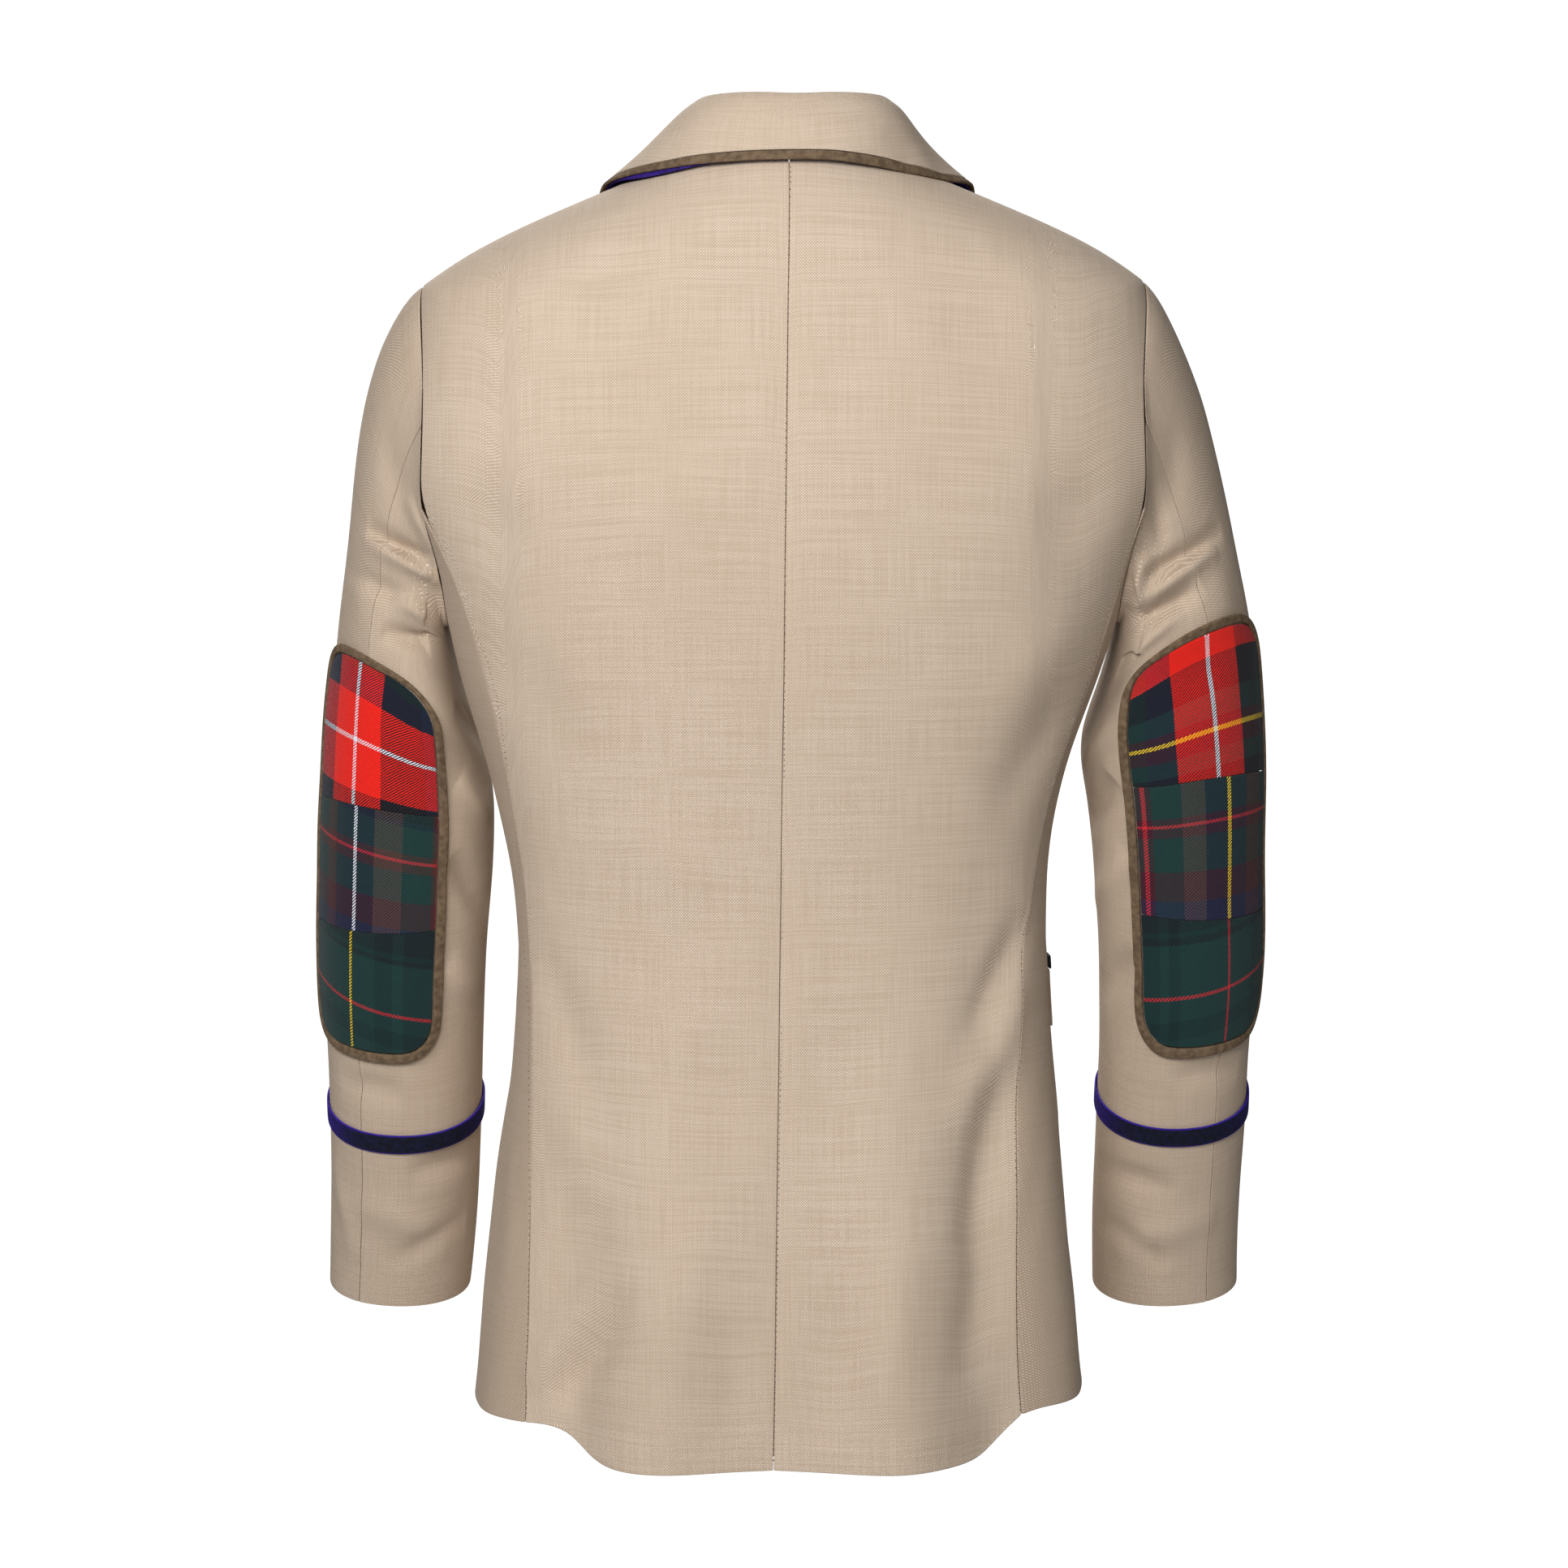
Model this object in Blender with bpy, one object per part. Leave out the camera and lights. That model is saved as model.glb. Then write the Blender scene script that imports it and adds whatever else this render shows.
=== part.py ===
"""A tailored jacket with tartan elbow patches, filled out as if it were worn, but empty.

Metres, +Z up. The jacket's front faces -Y and the wearer's left is +X. The origin is the centre of
the neck opening, level with the neck seam, where a wearer's neck and shoulders hold the jacket.

The body of the jacket is one form, a table of rings from the neck seam down to the hem. Each cut
piece is a stretch of that form between two seams, and it is made a wall of cloth. A sleeve is a
table of rings from the armhole to the cuff. What is sewn on top is made from the same forms, moved
out. "side" is +1 for the wearer's left and -1 for the right in every function.
"""
import math
from collections import namedtuple

import bmesh
import bpy
import numpy as np

# Driving sizes
CLOTH = 0.0020              # the jacket cloth with what backs it
VELVET = 0.0014             # ribbon and undercollar
FELT = 0.0026               # binding round the patches and along the collar
HALF_SEAM = 0.00018         # each piece stops this far short of its seam
LIFT = 0.0014               # air under what is sewn on top
SEWN_LIFT = 0.0006          # and under its sewn edge
SHOULDER_SLOPE = 0.008      # the wearer's right shoulder stands this much higher for each metre across
BACK_NECK = 0.008           # height of the neck seam at the centre back
HEM_DROP = 0.808            # neck seam to hem at the centre back
SHOULDER_DROP = 0.100       # where the shoulder seam ends and the armhole starts
BREAK_DROP = 0.430          # where the lapel starts to turn back
FRONT_OVERLAP = 0.015       # each front edge passes the centre front by this much
CUTAWAY_DROP = 0.560        # the front edge drifts away below this
CUTAWAY_ANGLE = 5.0         # degrees that it has drifted at the rounded corner
CORNER_HEIGHT = 0.075       # the rounded corner of each front at the hem
CORNER_ANGLE = 22.0


def curve(keys, values, key):
    """A smooth value between the rows of a table, which never overshoots them."""
    key = min(max(key, keys[0]), keys[-1])
    index = min(int(np.searchsorted(keys, key, side="right")) - 1, len(keys) - 2)
    steps = np.diff(keys)
    slopes = np.diff(values) / steps

    def tangent(row):
        if row == 0 or row == len(keys) - 1:
            return slopes[min(row, len(slopes) - 1)]
        before, after = slopes[row - 1], slopes[row]
        return 0.0 if before * after <= 0 else 2 * before * after / (before + after)

    step = steps[index]
    t = (key - keys[index]) / step
    return (values[index] * (1 + 2 * t) * (1 - t) ** 2 + values[index + 1] * t * t * (3 - 2 * t)
            + tangent(index) * step * t * (1 - t) ** 2 - tangent(index + 1) * step * t * t * (1 - t))


class Table:
    """Rows with named columns. The first column is the key that the others are read by."""

    def __init__(self, columns, *rows):
        self.names = columns.split()
        self.data = np.array(rows, dtype=float)
        self.keys = self.data[:, 0]

    def at(self, name, key):
        return curve(self.keys, self.data[:, self.names.index(name)], key)

    def column(self, name):
        return [float(value) for value in self.data[:, self.names.index(name)]]


def ramp(value, start, end):
    """0 before start, 1 after end, smooth between."""
    t = min(max((value - start) / (end - start), 0.0), 1.0)
    return t * t * (3 - 2 * t)


def power(value, exponent):
    return math.copysign(abs(value) ** exponent, value)


# The body's form: half width, and how far the back and the front stand from the side line. The
# armhole cuts the widest rings, so their full width is never seen.
TORSO = Table("drop side_z front_z width back front square",
              (0.000, -0.0060, -0.060, 0.0800, 0.0720, 0.0600, 2.10),
              (0.026, -0.0235, -0.072, 0.1230, 0.0900, 0.0850, 2.15),
              (0.051, -0.0405, -0.084, 0.1640, 0.1015, 0.1020, 2.25),
              (0.076, -0.0570, -0.098, 0.1980, 0.1090, 0.1125, 2.33),
              (0.100, -0.0755, -0.113, 0.2235, 0.1145, 0.1185, 2.38),
              (0.126, -0.1010, -0.131, 0.2315, 0.1197, 0.1225, 2.42),
              (0.155, -0.1370, -0.154, 0.2385, 0.1240, 0.1260, 2.45),
              (0.190, -0.1795, -0.186, 0.2445, 0.1270, 0.1285, 2.50),
              (0.220, -0.2105, -0.214, 0.2390, 0.1275, 0.1295, 2.50),
              (0.262, -0.2540, -0.256, 0.2175, 0.1260, 0.1285, 2.50),
              (0.290, -0.2830, -0.285, 0.2105, 0.1230, 0.1265, 2.50),
              (0.340, -0.3330, -0.335, 0.1970, 0.1165, 0.1210, 2.45),
              (0.405, -0.3980, -0.400, 0.1765, 0.1075, 0.1130, 2.40),
              (0.475, -0.4680, -0.470, 0.1675, 0.1020, 0.1080, 2.40),
              (0.545, -0.5380, -0.541, 0.1695, 0.1045, 0.1100, 2.40),
              (0.625, -0.6180, -0.622, 0.1765, 0.1125, 0.1160, 2.40),
              (0.715, -0.7080, -0.713, 0.1860, 0.1215, 0.1220, 2.35),
              (HEM_DROP, -0.8010, -0.809, 0.1950, 0.1270, 0.1260, 2.30))

# How the cloth hangs askew: turned about the body (degrees) and shifted (metres), both towards
# the wearer's left
ASKEW = Table("drop centre side shift",
              (0.000, -1.7, -0.5, 0.0000),
              (0.030, -1.2, -0.5, 0.0002),
              (0.062, -0.6, -0.4, 0.0003),
              (0.110, -0.3, -0.3, 0.0005),
              (0.290, -0.1, 0.0, 0.0010),
              (0.370, -0.5, 0.6, 0.0045),
              (0.420, -0.4, 1.2, 0.0045),
              (0.475, 0.0, 1.8, 0.0020),
              (0.545, 0.3, 2.2, 0.0008),
              (0.715, 0.5, 2.0, 0.0018),
              (HEM_DROP, 0.5, 1.6, 0.0035))

# The skirt's hanging folds: where, how wide (degrees), how far they stand out, and their stretch
Fold = namedtuple("Fold", "centre spread height start full")
SKIRT_FOLDS = (
    Fold(20, 10, 0.013, 0.46, 0.80),
    Fold(-19, 10, 0.013, 0.46, 0.80),
    Fold(1, 7, -0.006, 0.50, 0.80),
    Fold(41, 8, -0.010, 0.44, 0.80),
    Fold(-43, 9, -0.010, 0.36, 0.76),
    Fold(66, 9, 0.004, 0.50, 0.80),
    Fold(-68, 9, 0.004, 0.50, 0.80),
    Fold(122, 12, 0.004, 0.55, 0.80),
    Fold(-118, 12, 0.004, 0.55, 0.80),
    Fold(146, 12, -0.004, 0.55, 0.80),
    Fold(-144, 12, -0.004, 0.55, 0.80),
)
Rise = namedtuple("Rise", "height start full")
HEM_RISE = {1: Rise(0.020, 29, 44), -1: Rise(0.028, 37, 55)}     # the hem rises towards each side

# The armhole, round the arm: turn 0 at the shoulder seam, 90 at the back, 180 under the arm
TURN_STEP = 15
ARMHOLE = Table("turn drop angle",
                (0, 0.1000, 90.0), (15, 0.1035, 84.0), (30, 0.1135, 77.0), (45, 0.1310, 70.2),
                (60, 0.1525, 65.0), (75, 0.1740, 62.3), (90, 0.1970, 62.0), (105, 0.2220, 66.3),
                (120, 0.2480, 71.5), (135, 0.2700, 77.0), (150, 0.2850, 81.7), (165, 0.2935, 86.0),
                (180, 0.2960, 90.0), (195, 0.2940, 94.0), (210, 0.2865, 98.5), (225, 0.2730, 103.3),
                (240, 0.2520, 108.7), (255, 0.2260, 113.3), (270, 0.1970, 115.6), (285, 0.1720, 115.0),
                (300, 0.1505, 112.5), (315, 0.1320, 108.0), (330, 0.1160, 101.8), (345, 0.1050, 96.0),
                (360, 0.1000, 90.0))
BACK_JUNCTION = 105         # turn where the back seam meets the armhole
FRONT_JUNCTION = 240        # turn where the front seam meets it

BACK_SEAM = Table("drop left right",
                  (0.222, 66.3, 66.3), (0.272, 64.5, 71.5), (0.318, 61.0, 71.5), (0.363, 61.5, 72.5),
                  (0.408, 65.0, 72.0), (0.458, 66.5, 68.5), (0.508, 65.0, 62.5), (0.608, 59.0, 56.3),
                  (0.703, 53.8, 52.3), (0.769, 51.7, 50.9), (HEM_DROP, 50.8, 51.2))
FRONT_SEAM = Table("drop angle", (0.252, 108.7), (0.300, 105.0), (0.400, 102.0), (0.475, 103.0),
                   (0.600, 101.0), (0.720, 98.0), (HEM_DROP, 97.0))

# The sleeve's rings: the line down its outer side, the line down its inner side, the ring's middle
# from front to back, its half depth, how much lower its back stands (degrees), and how much
# further out both lines of the right sleeve hang than those of the left
SLEEVE = Table("reach outer_x outer_z inner_x inner_z middle_y depth tilt swing_out swing_in",
               (0.000, 0.2235, -0.0755, 0.2105, -0.2960, 0.000, 0.0680, 0, 0.000, 0.000),
               (0.012, 0.2345, -0.0785, 0.2118, -0.3050, -0.003, 0.0685, 0, 0.000, -0.001),
               (0.040, 0.2485, -0.1040, 0.2100, -0.3180, -0.010, 0.0690, 2, -0.003, -0.002),
               (0.100, 0.2665, -0.1600, 0.2035, -0.3330, -0.022, 0.0700, 4, 0.001, -0.004),
               (0.170, 0.2765, -0.2380, 0.1975, -0.3500, -0.030, 0.0700, 7, 0.010, -0.005),
               (0.235, 0.2850, -0.3000, 0.1915, -0.3740, -0.034, 0.0680, 10, 0.014, -0.002),
               (0.300, 0.2920, -0.3640, 0.1855, -0.4080, -0.036, 0.0640, 13, 0.012, 0.009),
               (0.370, 0.2960, -0.4360, 0.1875, -0.4540, -0.038, 0.0600, 16, 0.009, 0.012),
               (0.440, 0.2980, -0.5080, 0.1925, -0.5130, -0.044, 0.0555, 19, 0.008, 0.011),
               (0.505, 0.2970, -0.5700, 0.1955, -0.5720, -0.055, 0.0520, 22, 0.005, 0.009),
               (0.560, 0.2970, -0.6240, 0.1980, -0.6250, -0.068, 0.0495, 22, 0.005, 0.006),
               (0.620, 0.3000, -0.6840, 0.2025, -0.6850, -0.084, 0.0475, 16, 0.000, 0.001),
               (0.665, 0.3024, -0.7290, 0.2080, -0.7330, -0.094, 0.0460, 11, -0.001, -0.003))
CUFF_REACH = 0.665
SLEEVE_SQUARE = 2.15
ARMHOLE_GAP = 0.0005        # how far a sleeve's first ring stands off the armhole's edge
ARMHOLE_MIDDLE = (0.235, -0.190)        # x and z
SLEEVE_JOIN = 0.050         # the armhole's outline has become a plain ring by here
HIND_SEAM = 75              # turns where the top and under sleeves meet at the armhole
FORE_SEAM = 240
SEAM_TURN = Table("reach turn", (0.0, 0), (0.03, -1), (0.10, -6), (0.17, -11), (0.235, -14), (CUFF_REACH, -13))
BODY_CLEAR = 0.0030         # a sleeve stays this far off the body below the armhole
RADIAL_REACH = 0.060        # by here the wall's thickness has turned from round the hole to across the cloth
RELAX_ROUNDS = 25
CUFF_RING = -1

# Folds that run from under the arm round the back of each sleeve
SleeveFold = namedtuple("SleeveFold", "turn_a reach_a turn_b reach_b spread height")
SLEEVE_FOLDS = (
    SleeveFold(48, 0.150, 112, 0.095, 0.012, -0.0050),
    SleeveFold(52, 0.176, 150, 0.062, 0.013, 0.0055),
    SleeveFold(75, 0.214, 155, 0.098, 0.013, -0.0045),
    SleeveFold(95, 0.250, 158, 0.135, 0.014, 0.0035),
    SleeveFold(235, 0.270, 300, 0.330, 0.014, -0.0035),
    SleeveFold(230, 0.330, 305, 0.375, 0.014, -0.0035),
)
SLEEVE_RADIUS = 0.056       # turns a turn in degrees into metres for the folds

# What lies on the sleeve
# The right patch is sewn on a little higher and further round than the left one
Patch = namedtuple("Patch", "outer_start inner_start end outer_turn inner_turn splits")
PATCHES = {1: Patch(0.232, 0.178, 0.482, 12, 119, (0.0, 0.39, 0.69, 1.0)),
           -1: Patch(0.216, 0.138, 0.478, 12, 125, (0.0, 0.38, 0.70, 1.0))}
PATCH_HEIGHT = 0.270        # along the sleeve, for laying out the corners
PATCH_CORNER = 0.026
BINDING_WIDTH = 0.0062
PATCH_GAP = 0.0008          # between the tartan and its binding
CORNER_CROWD = 1.9          # how much closer a patch's rows are near its round corners
BAND_TOP = {1: 0.535, -1: 0.530}
BAND_WIDTH = 0.013

# What lies on the fronts
POCKET_TOP, WELT_HEIGHT, FLAP_HEIGHT = 0.512, 0.009, 0.038
POCKET_BACK, POCKET_FRONT = {1: 98.0, -1: 93.5}, 141.0
BUTTON_RADIUS, BUTTON_THICK = 0.0115, 0.0042
BUTTON_DROPS = (0.452, 0.552)
LAPEL_TOP, LAPEL_SLANT, LAPEL_WIDTH = 0.078, 0.052, 0.086
LAPEL_START = {1: 0.04, -1: 0.24}       # the right lapel starts above the left front
ROLL_TOP_X = 0.0795          # where the roll line reaches the neck

# The collar, from the centre back round to its front end: where it is sewn on, how high it
# stands, where its edge lies on the body, and how far that edge is above the cloth there
COLLAR = Table("share seam_drop seam_angle stand lean bow edge_drop edge_angle lift",
               (0.00, 0.000, 0, 0.0310, 0.0020, 0.0030, 0.0148, 0, 0.0064),
               (0.18, 0.000, 32, 0.0360, 0.0030, 0.0030, 0.0155, 34, 0.0064),
               (0.36, 0.000, 64, 0.0410, 0.0140, 0.0010, 0.0168, 66, 0.0064),
               (0.50, 0.000, 90, 0.0390, 0.0175, -0.0015, 0.0200, 91, 0.0064),
               (0.66, 0.000, 117, 0.0250, 0.0090, 0.0000, 0.0320, 118, 0.0064),
               (0.83, 0.030, 149.5, 0.0110, 0.0030, 0.0010, 0.0600, 138, 0.0066),
               (1.00, 0.072, 165.3, 0.0072, 0.0000, 0.0010, 0.0930, 149, 0.0066))
NECK_SPAN = (0.080, 0.072, 0.150)       # half width, back and front of the ring that the collar leans from
COLLAR_EDGE = 0.0055        # width of the bound edge
UNDER_GAP = 0.0006          # air between the fall and the undercollar
UNDER_SHORT = 0.03          # share of the fall that the undercollar stops short of its edge
COLLAR_ASKEW = 0.0050       # the fold has slipped towards the wearer's right by this much


def hand(side):
    return "left" if side > 0 else "right"


def skirt_fold(signed_angle, drop):
    height = 0.0
    for fold in SKIRT_FOLDS:
        away = (signed_angle - fold.centre + 180) % 360 - 180
        height += fold.height * math.exp(-(away / fold.spread) ** 2) * ramp(drop, fold.start, fold.full)
    return height


def torso_point(side, drop, angle):
    """The outer cloth of the body. Angle is 0 at the centre back, 90 at the side, 180 at the front."""
    across = abs(math.sin(math.radians(angle))) ** 2
    turned = ASKEW.at("centre", drop) * (1 - across) + ASKEW.at("side", drop) * across
    signed = side * angle + turned
    sine, cosine = math.sin(math.radians(signed)), math.cos(math.radians(signed))
    exponent = 2 / TORSO.at("square", drop)
    width = TORSO.at("width", drop)
    depth = TORSO.at("back" if cosine > 0 else "front", drop)
    centre_z = BACK_NECK - drop if cosine > 0 else TORSO.at("front_z", drop)
    x, y = width * power(sine, exponent), depth * power(cosine, exponent)
    z = centre_z * cosine ** 2 + TORSO.at("side_z", drop) * sine ** 2
    z -= SHOULDER_SLOPE * x * (1 - ramp(drop, 0.1, 0.3))
    lift = HEM_RISE[side]
    rise = lift.height * ramp(angle, lift.start, lift.full) * (1 - ramp(angle, 100, 150)) * (drop / HEM_DROP) ** 4
    outward = np.array([x / width ** 2, y / depth ** 2, 0.0])
    outward /= np.linalg.norm(outward)
    return np.array([x + ASKEW.at("shift", drop), y, z + rise]) + outward * skirt_fold(signed, drop)


def front_overlap(side, angle):
    """The wearer's left front lies over the right one."""
    return (CLOTH + 0.0008) * ramp(angle, 150, 168) if side > 0 else 0.0


def sleeve_fold(turn, reach):
    height = 0.0
    here = np.array([math.radians(turn) * SLEEVE_RADIUS, reach])
    for fold in SLEEVE_FOLDS:
        a = np.array([math.radians(fold.turn_a) * SLEEVE_RADIUS, fold.reach_a])
        b = np.array([math.radians(fold.turn_b) * SLEEVE_RADIUS, fold.reach_b])
        along = np.dot(here - a, b - a) / np.dot(b - a, b - a)
        away = np.linalg.norm(here - a - (b - a) * min(max(along, 0), 1))
        height += fold.height * math.exp(-(away / fold.spread) ** 2)
    return height


def armhole_rim(side, turn):
    """A point of the armhole's edge, the way out of the body there, and the way into the hole."""
    places = [(ARMHOLE.at("drop", t % 360), ARMHOLE.at("angle", t % 360)) for t in (turn - 4, turn, turn + 4)]
    before, rim, after = [torso_point(side, *place) for place in places]
    out = torso_skin(side, *places[1])[1]
    into = np.cross(after - before, out)
    into /= np.linalg.norm(into)
    middle = np.array([side * ARMHOLE_MIDDLE[0], 0.0, ARMHOLE_MIDDLE[1]])
    if np.dot(into, middle - rim) < 0:
        into = -into
    return rim, out, into


def clear_of_body(reach, point):
    """Moves a point of a sleeve out from the body's cloth where it would touch it."""
    drop = curve(-np.array(TORSO.column("side_z")), np.array(TORSO.column("drop")), -point[2])
    width, square = TORSO.at("width", drop), TORSO.at("square", drop)
    depth = TORSO.at("back" if point[1] > 0 else "front", drop)
    sine = (abs(point[0] - ASKEW.at("shift", drop)) / width) ** (square / 2)
    cosine = power(point[1] / depth, square / 2)
    lower = ARMHOLE.data[6:19]
    bottom = curve(lower[:, 2], lower[:, 1], math.degrees(math.atan2(sine, cosine)))
    short = 1 + BODY_CLEAR / width - (sine ** 2 + cosine ** 2) ** (1 / square)
    if short <= 0:
        return point
    over_cloth = ramp(drop - bottom, -0.010, 0.0) * ramp(reach, 0.0, 0.010)
    return point + np.array([point[0], point[1], 0.0]) * short * over_cloth


def sleeve_point(side, turn, reach):
    """The outer cloth of a sleeve. Turn is 0 at its outer side, 90 at the back, 180 inside."""
    row = {name: SLEEVE.at(name, reach) for name in SLEEVE.names[1:]}
    right = 1 if side < 0 else 0
    outer = np.array([row["outer_x"] + right * row["swing_out"], row["outer_z"]])
    inner = np.array([row["inner_x"] + right * row["swing_in"], row["inner_z"]])
    exponent = 2 / SLEEVE_SQUARE
    sine = power(math.sin(math.radians(turn)), exponent)
    cosine = power(math.cos(math.radians(turn)), exponent)
    middle, half = (outer + inner) / 2, (outer - inner) / 2
    depth = row["depth"] + sleeve_fold(turn, reach)
    x, z = middle + half * (1 + sleeve_fold(turn, reach) / 0.06) * cosine
    tilt = math.radians(row["tilt"])
    ring = np.array([side * x, row["middle_y"] + depth * sine * math.cos(tilt), z - depth * sine * math.sin(tilt)])
    blend = ramp(reach, 0.0, SLEEVE_JOIN)
    if blend == 1:
        return clear_of_body(reach, ring)
    rim, out, into = armhole_rim(side, turn)
    start = rim + into * ARMHOLE_GAP
    return clear_of_body(reach, start * (1 - blend) + ring * blend)


def surface(point, a, b, step_a, step_b, centre):
    """A point of a form with its outward normal, which looks away from centre."""
    here = point(a, b)
    along_a = point(a + step_a, b) - point(a - step_a, b)
    along_b = point(a, b + step_b) - point(a, b - step_b)
    normal = np.cross(along_a, along_b)
    normal /= np.linalg.norm(normal)
    if np.dot(normal, here - centre) < 0:
        normal = -normal
    return here, normal


def torso_skin(side, drop, angle, out=0.0):
    """Point and normal on the body, moved out by a distance."""
    drop_step = min(0.002, max(drop, 0.0004), max(HEM_DROP - drop, 0.0004))
    centre = np.array([0.0, 0.0, torso_point(side, drop, 90)[2] - 0.05 * (drop < SHOULDER_DROP)])
    here, normal = surface(lambda d, t: torso_point(side, d, t), drop, angle, drop_step, 1.5, centre)
    return here + normal * (out + front_overlap(side, angle)), normal


def sleeve_skin(side, turn, reach, out=0.0):
    """Point and normal on a sleeve, moved out by a distance."""
    centre = (sleeve_point(side, 0, reach) + sleeve_point(side, 180, reach)) / 2
    here, normal = surface(lambda t, r: sleeve_point(side, t, r), turn, reach, 3.0, 0.003, centre)
    return here + normal * out, normal


def cloth_colour(name, colour, roughness=0.9):
    material = bpy.data.materials.new(name)
    material.use_nodes = True
    shader = material.node_tree.nodes["Principled BSDF"]
    shader.inputs["Base Color"].default_value = (*colour, 1)
    shader.inputs["Roughness"].default_value = roughness
    material.diffuse_color = (*colour, 1)
    return material


def add_object(name, bm, material):
    bmesh.ops.recalc_face_normals(bm, faces=bm.faces)
    mesh = bpy.data.meshes.new(name)
    bm.to_mesh(mesh)
    bm.free()
    mesh.materials.append(material)
    mesh.shade_smooth()
    thing = bpy.data.objects.new(name, mesh)
    bpy.context.scene.collection.objects.link(thing)
    return thing


def wall_skins(rows, thick, trim=""):
    """Outer and inner skin of a wall of cloth from rows of (point, normal).

    trim names the edges that stop short of a seam: f and l for the first and last rows, s and e for
    the start and end of every row.
    """
    outer = np.array([[point for point, normal in row] for row in rows])
    inner = np.array([[point - normal * thick for point, normal in row] for row in rows])
    for mark, edge, beside in (("f", np.s_[0, :], np.s_[1, :]), ("l", np.s_[-1, :], np.s_[-2, :]),
                               ("s", np.s_[:, 0], np.s_[:, 1]), ("e", np.s_[:, -1], np.s_[:, -2])):
        if mark in trim:
            inward = outer[beside] - outer[edge]
            inward *= HALF_SEAM / np.linalg.norm(inward, axis=-1, keepdims=True)
            outer[edge] += inward
            inner[edge] += inward
    return outer, inner


def wall_mesh(skins, loop=False):
    """A closed wall between two skins. A loop joins the end of each row to its start."""
    bm = bmesh.new()
    skins = [[[bm.verts.new(point) for point in row] for row in skin] for skin in skins]
    count, across = len(skins[0]), len(skins[0][0])
    spans = [(j, (j + 1) % across) for j in range(across if loop else across - 1)]
    for skin in skins:
        for i in range(count - 1):
            for j, k in spans:
                bm.faces.new((skin[i][j], skin[i][k], skin[i + 1][k], skin[i + 1][j]))
    for i in (0, count - 1):
        for j, k in spans:
            bm.faces.new((skins[0][i][j], skins[0][i][k], skins[1][i][k], skins[1][i][j]))
    if not loop:
        for j in (0, across - 1):
            for i in range(count - 1):
                bm.faces.new((skins[0][i][j], skins[0][i + 1][j], skins[1][i + 1][j], skins[1][i][j]))
    bmesh.ops.triangulate(bm, faces=bm.faces, quad_method="SHORT_EDGE")
    return bm


def wall(name, rows, thick, material, trim="", loop=False):
    return add_object(name, wall_mesh(wall_skins(rows, thick, trim), loop), material)


def between(start, end, count):
    return [start + (end - start) * i / count for i in range(count + 1)]


def armhole_turns(first, last):
    step = TURN_STEP if last > first else -TURN_STEP
    return list(range(first, last + step, step))


# Rows of every panel from the hem up, closer at the rounded corners of the fronts
SKIRT_DROPS = [HEM_DROP - CORNER_HEIGHT * step for step in (0.0, 0.06, 0.25, 0.58, 1.0)]
UPPER_STEPS = 11


def panel_drops(junction, shoulder_turn):
    """Rows of a back or front: hem to junction, up the armhole, and along the shoulder seam."""
    skirt = SKIRT_DROPS + between(SKIRT_DROPS[-1], ARMHOLE.at("drop", junction), UPPER_STEPS)[1:]
    arm = [ARMHOLE.at("drop", turn) for turn in armhole_turns(junction, shoulder_turn)]
    shoulder = sorted(TORSO.column("drop")[:4], reverse=True)
    return skirt + arm[1:] + shoulder


def armhole_angle(drop, first, last):
    rows = [(ARMHOLE.at("drop", turn), ARMHOLE.at("angle", turn)) for turn in armhole_turns(first, last)]
    rows.sort()
    return curve(np.array([row[0] for row in rows]), np.array([row[1] for row in rows]), drop)


def back_edge(side, drop):
    """Angle of the back's outer edge: shoulder seam, armhole, then the seam down the side."""
    if drop <= SHOULDER_DROP:
        return 90.0
    if drop < ARMHOLE.at("drop", BACK_JUNCTION):
        return armhole_angle(drop, 0, BACK_JUNCTION)
    return BACK_SEAM.at(hand(side), drop)


def front_seam_edge(drop):
    if drop <= SHOULDER_DROP:
        return 90.0
    if drop < ARMHOLE.at("drop", FRONT_JUNCTION):
        return armhole_angle(drop, FRONT_JUNCTION, 360)
    return FRONT_SEAM.at("angle", drop)


def angle_at_x(drop, x):
    """Angle on the front at a distance x from the centre front, negative past it."""
    share = power(x / TORSO.at("width", drop), TORSO.at("square", drop) / 2)
    return 180 - math.degrees(math.asin(share))


def roll_x(drop):
    """The roll line is straight from the break to the neck."""
    share = (BREAK_DROP - drop) / BREAK_DROP
    return -FRONT_OVERLAP + (ROLL_TOP_X + FRONT_OVERLAP) * share


def front_edge(drop):
    if drop < BREAK_DROP:
        return angle_at_x(drop, roll_x(drop))
    drift = CUTAWAY_ANGLE * ramp(drop, CUTAWAY_DROP, HEM_DROP)
    corner = max(0.0, (drop - HEM_DROP + CORNER_HEIGHT) / CORNER_HEIGHT)
    rounded = CORNER_ANGLE * (1 - math.sqrt(max(0.0, 1 - corner ** 2)))
    return angle_at_x(drop, -FRONT_OVERLAP) - drift - rounded


def make_back(name, side, material):
    rows = []
    for drop in panel_drops(BACK_JUNCTION, 0):
        rows.append([torso_skin(side, drop, angle) for angle in between(0, back_edge(side, drop), 9)])
    return wall(name, rows, CLOTH, material, trim="se")


def make_front(name, side, material):
    rows = []
    for drop in panel_drops(FRONT_JUNCTION, 360):
        rows.append([torso_skin(side, drop, angle) for angle in between(front_seam_edge(drop), front_edge(drop), 8)])
    return wall(name, rows, CLOTH, material, trim="s")


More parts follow.
